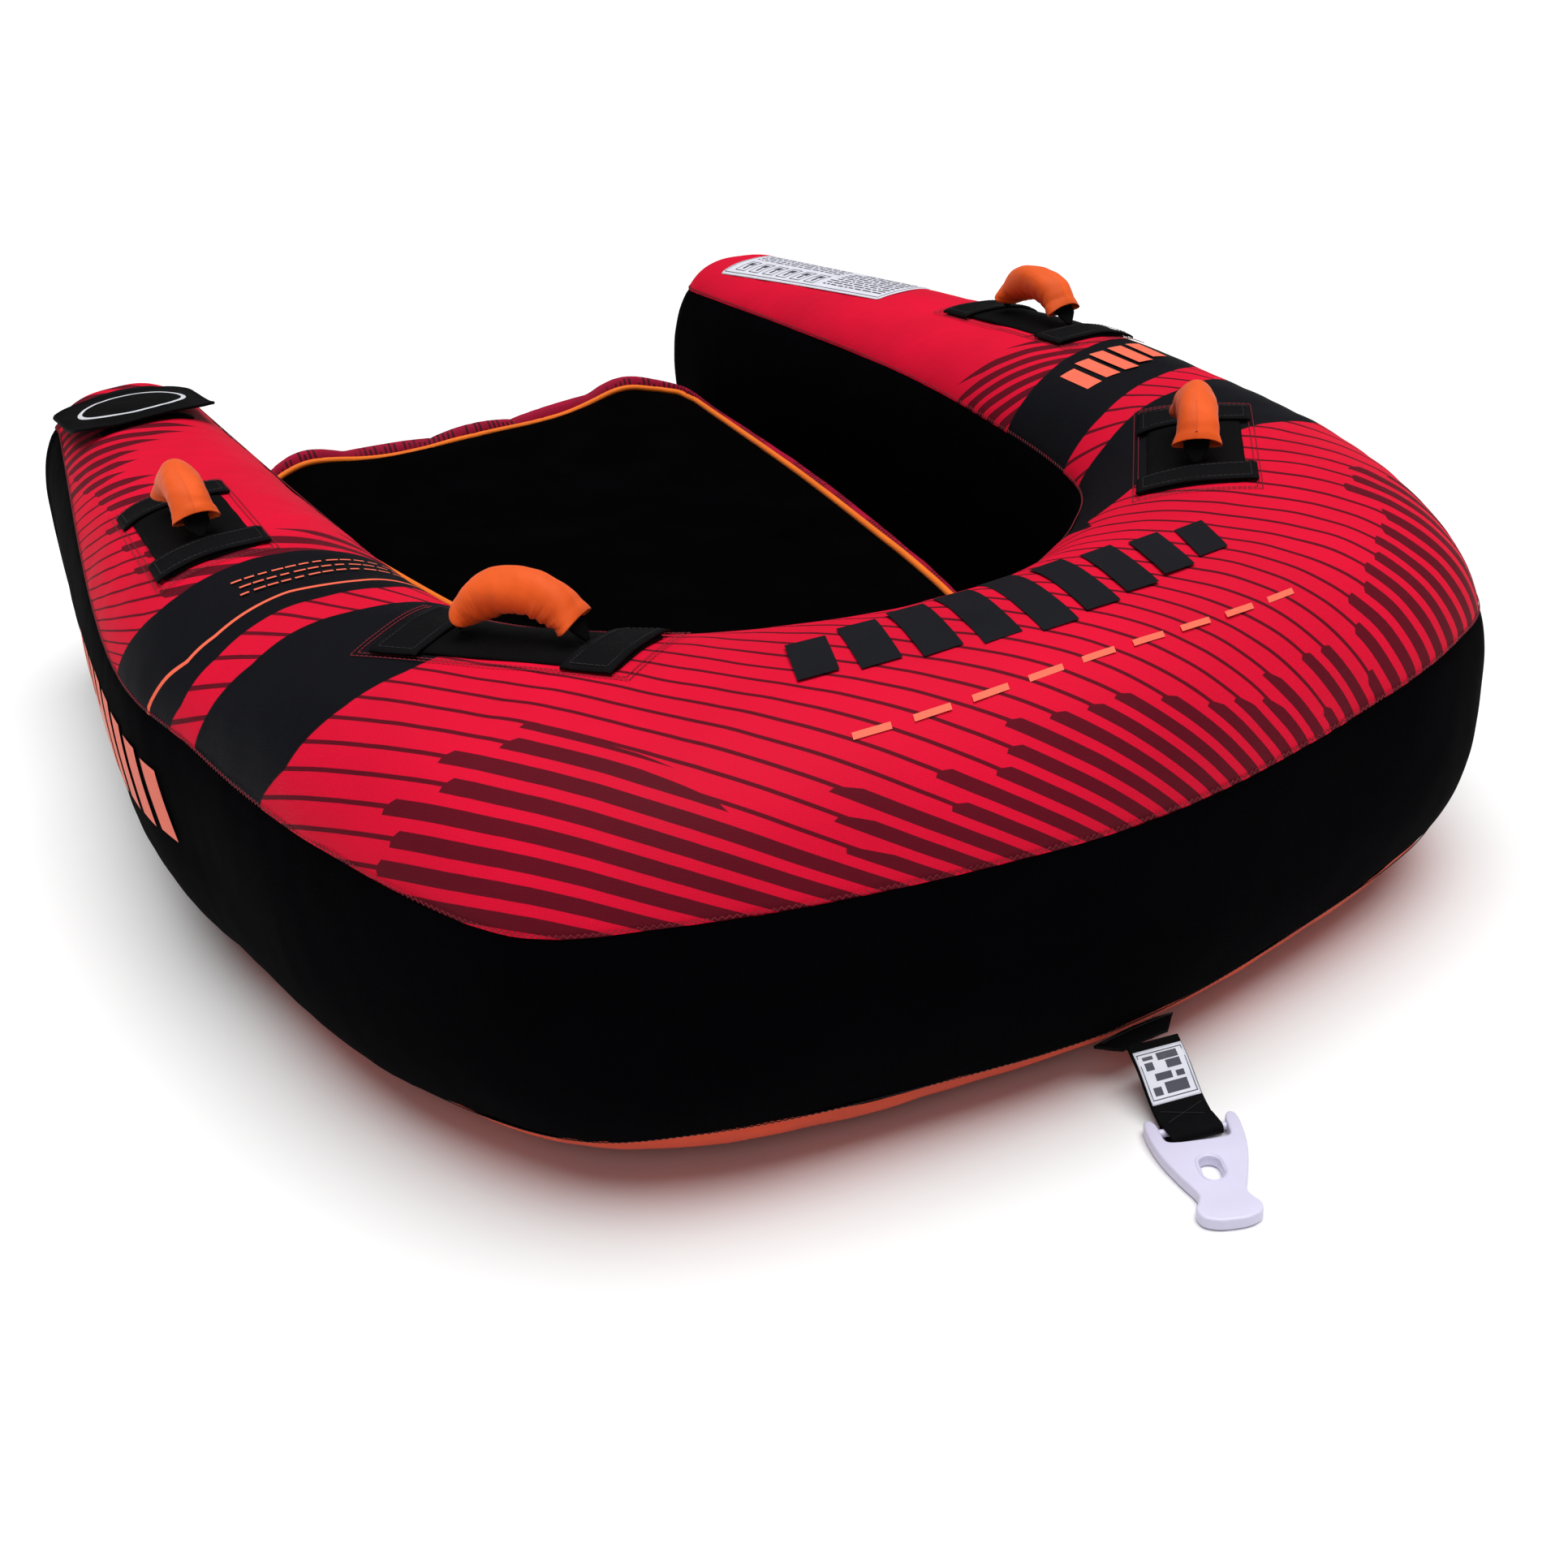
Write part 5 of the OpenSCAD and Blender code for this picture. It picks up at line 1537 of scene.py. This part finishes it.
def connector():
    """The moulded plate with its slotted eye, the bar in the strap's loop and a lip round the eye."""
    t = np.linspace(0, len(HOOK_X) - 1, 91)
    half = np.stack([spline(HOOK_X, t, -1), spline(HOOK_Y, t, 1)], -1)
    outline = [tuple(p) for p in half] + [(-p[0], p[1]) for p in half[-2:0:-1]]
    bar_x, bar_y = -BAR_AT * math.sin(SKEW), ROOT_Y - BAR_AT * math.cos(SKEW)
    c, s = math.cos(math.pi - HOOK_SKEW), math.sin(math.pi - HOOK_SKEW)

    def place(q):
        x = bar_x + q[:, 0] * c - q[:, 1] * s
        y = bar_y + q[:, 0] * s + q[:, 1] * c
        return np.stack([x, y, LIE_Z + q[:, 2]], -1)
    eye = []
    for k in range(49):
        a = 2 * math.pi * k / 49
        eye.append((9 * math.cos(a), 58 + 9 * math.sin(a) + (6 if math.sin(a) > 0 else -6)))
    ob = bevelled("connector_plate", outline, HOOK_T, M_WHITE, place, holes=[eye], bevel=2.4, segments=5)
    settle(ob, "connector_white", "tow_connector", "tow_connector")
    path = place(np.stack([np.linspace(-33, 33, 23), np.zeros(23), np.zeros(23)], -1))
    settle(tube_mesh("connector_bar", path, BAR_R, M_WHITE, 20), "connector_white", "tow_connector")
    # A raised lip round the eye
    th = np.linspace(0, 2 * np.pi, 49)[:-1]
    for sgn, nm in ((1, "upper"), (-1, "lower")):
        ring_y = 58 + 12 * np.sin(th) + 6 * np.tanh(np.sin(th) * 4)
        ring = np.stack([12 * np.cos(th), ring_y, np.full(48, sgn * (HOOK_T / 2 - .5))], -1)
        lip = tube_mesh("connector_lip_" + nm, place(ring), 1.3, M_WHITE, 8, closed=True)
        settle(lip, "connector_white", "tow_connector")


connector()

# Inner bladders stay unseen inside the cover: the cover pieces stand for them
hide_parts("main_bladder")
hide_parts("floor_bladder")

# ------------------------------------------------------------------ floor, light and camera
def stage_floor():
    """A wide pale floor just under the model."""
    g = np.array([[(x, y, -.0006) for y in (-60., 60.)] for x in (-60., 60.)])
    me = bpy.data.meshes.new("studio_floor")
    me.from_pydata(g.reshape(-1, 3).tolist(), [], [[0, 2, 3, 1]])
    ob = bpy.data.objects.new("studio_floor", me)
    bpy.context.collection.objects.link(ob)
    m = Nodes("studio_paper")
    vec = m.add("ShaderNodeTexCoord").outputs["Object"]
    col = m.mix(m.ramp(m.noise(vec, 3.0), .3, .7), (.93, .93, .93, 1), (.95, .95, .95, 1))
    me.materials.append(m.finish(col, .9, None, .1))


def sky(strength):
    """Weak even light from all round. The backdrop itself stays white behind the floor's far edge."""
    world = bpy.data.worlds.new("studio")
    bpy.context.scene.world = world
    world.use_nodes = True
    tree = world.node_tree
    back = tree.nodes["Background"]
    back.inputs[0].default_value = (1, 1, 1, 1)
    seen = tree.nodes.new("ShaderNodeLightPath")
    lit = tree.nodes.new("ShaderNodeMath")
    lit.operation = "MAXIMUM"
    lit.inputs[1].default_value = strength
    tree.links.new(seen.outputs["Is Camera Ray"], lit.inputs[0])
    tree.links.new(lit.outputs[0], back.inputs[1])


stage_floor()
sky(.12)


def sun(name, towards, power, angle):
    """Distant soft light: falls evenly on the whole floor."""
    li = bpy.data.lights.new(name, "SUN")
    li.energy = power
    li.angle = math.radians(angle)
    ob = bpy.data.objects.new(name, li)
    ob.rotation_euler = Vector(towards).to_track_quat("-Z", "Y").to_euler()
    ob.location = (0, 0, 3)
    bpy.context.collection.objects.link(ob)


def area(name, loc, target, size, power):
    """Rectangular soft light at loc, aimed at target."""
    li = bpy.data.lights.new(name, "AREA")
    li.shape = "RECTANGLE"
    li.size, li.size_y = size
    li.energy = power
    ob = bpy.data.objects.new(name, li)
    ob.location = loc
    ob.rotation_euler = (Vector(target) - Vector(loc)).to_track_quat("-Z", "Y").to_euler()
    bpy.context.collection.objects.link(ob)


sun("overhead_softbox", (-.04, .08, -1), 3.4, 58)
area("front_softbox", (-1.6, -3.2, 2.4), (0, -.3, .4), (1.8, 1.2), 8)


def camera():
    """The camera, turned az round the model, el above the floor and rolled by ro."""
    cam = bpy.data.cameras.new("photo_camera")
    cam.lens = 44.16
    cam.sensor_width = 36
    ob = bpy.data.objects.new("photo_camera", cam)
    az, el, ro = math.radians(-27.24), math.radians(28.38), math.radians(4.98)
    back = Vector((math.sin(az) * math.cos(el), -math.cos(az) * math.cos(el), math.sin(el)))
    right = Vector((math.cos(az), math.sin(az), 0))
    up = right.cross(-back)
    r2 = math.cos(ro) * right - math.sin(ro) * up
    u2 = math.sin(ro) * right + math.cos(ro) * up
    m = Matrix((r2, u2, back)).transposed().to_4x4()
    m.translation = Vector((-.9215, (-1321.1 - DATUM) * MM, 1.1068))
    ob.matrix_world = m
    bpy.context.collection.objects.link(ob)
    bpy.context.scene.camera = ob


camera()
bpy.context.scene.view_settings.view_transform = "Standard"
bpy.context.view_layer.update()
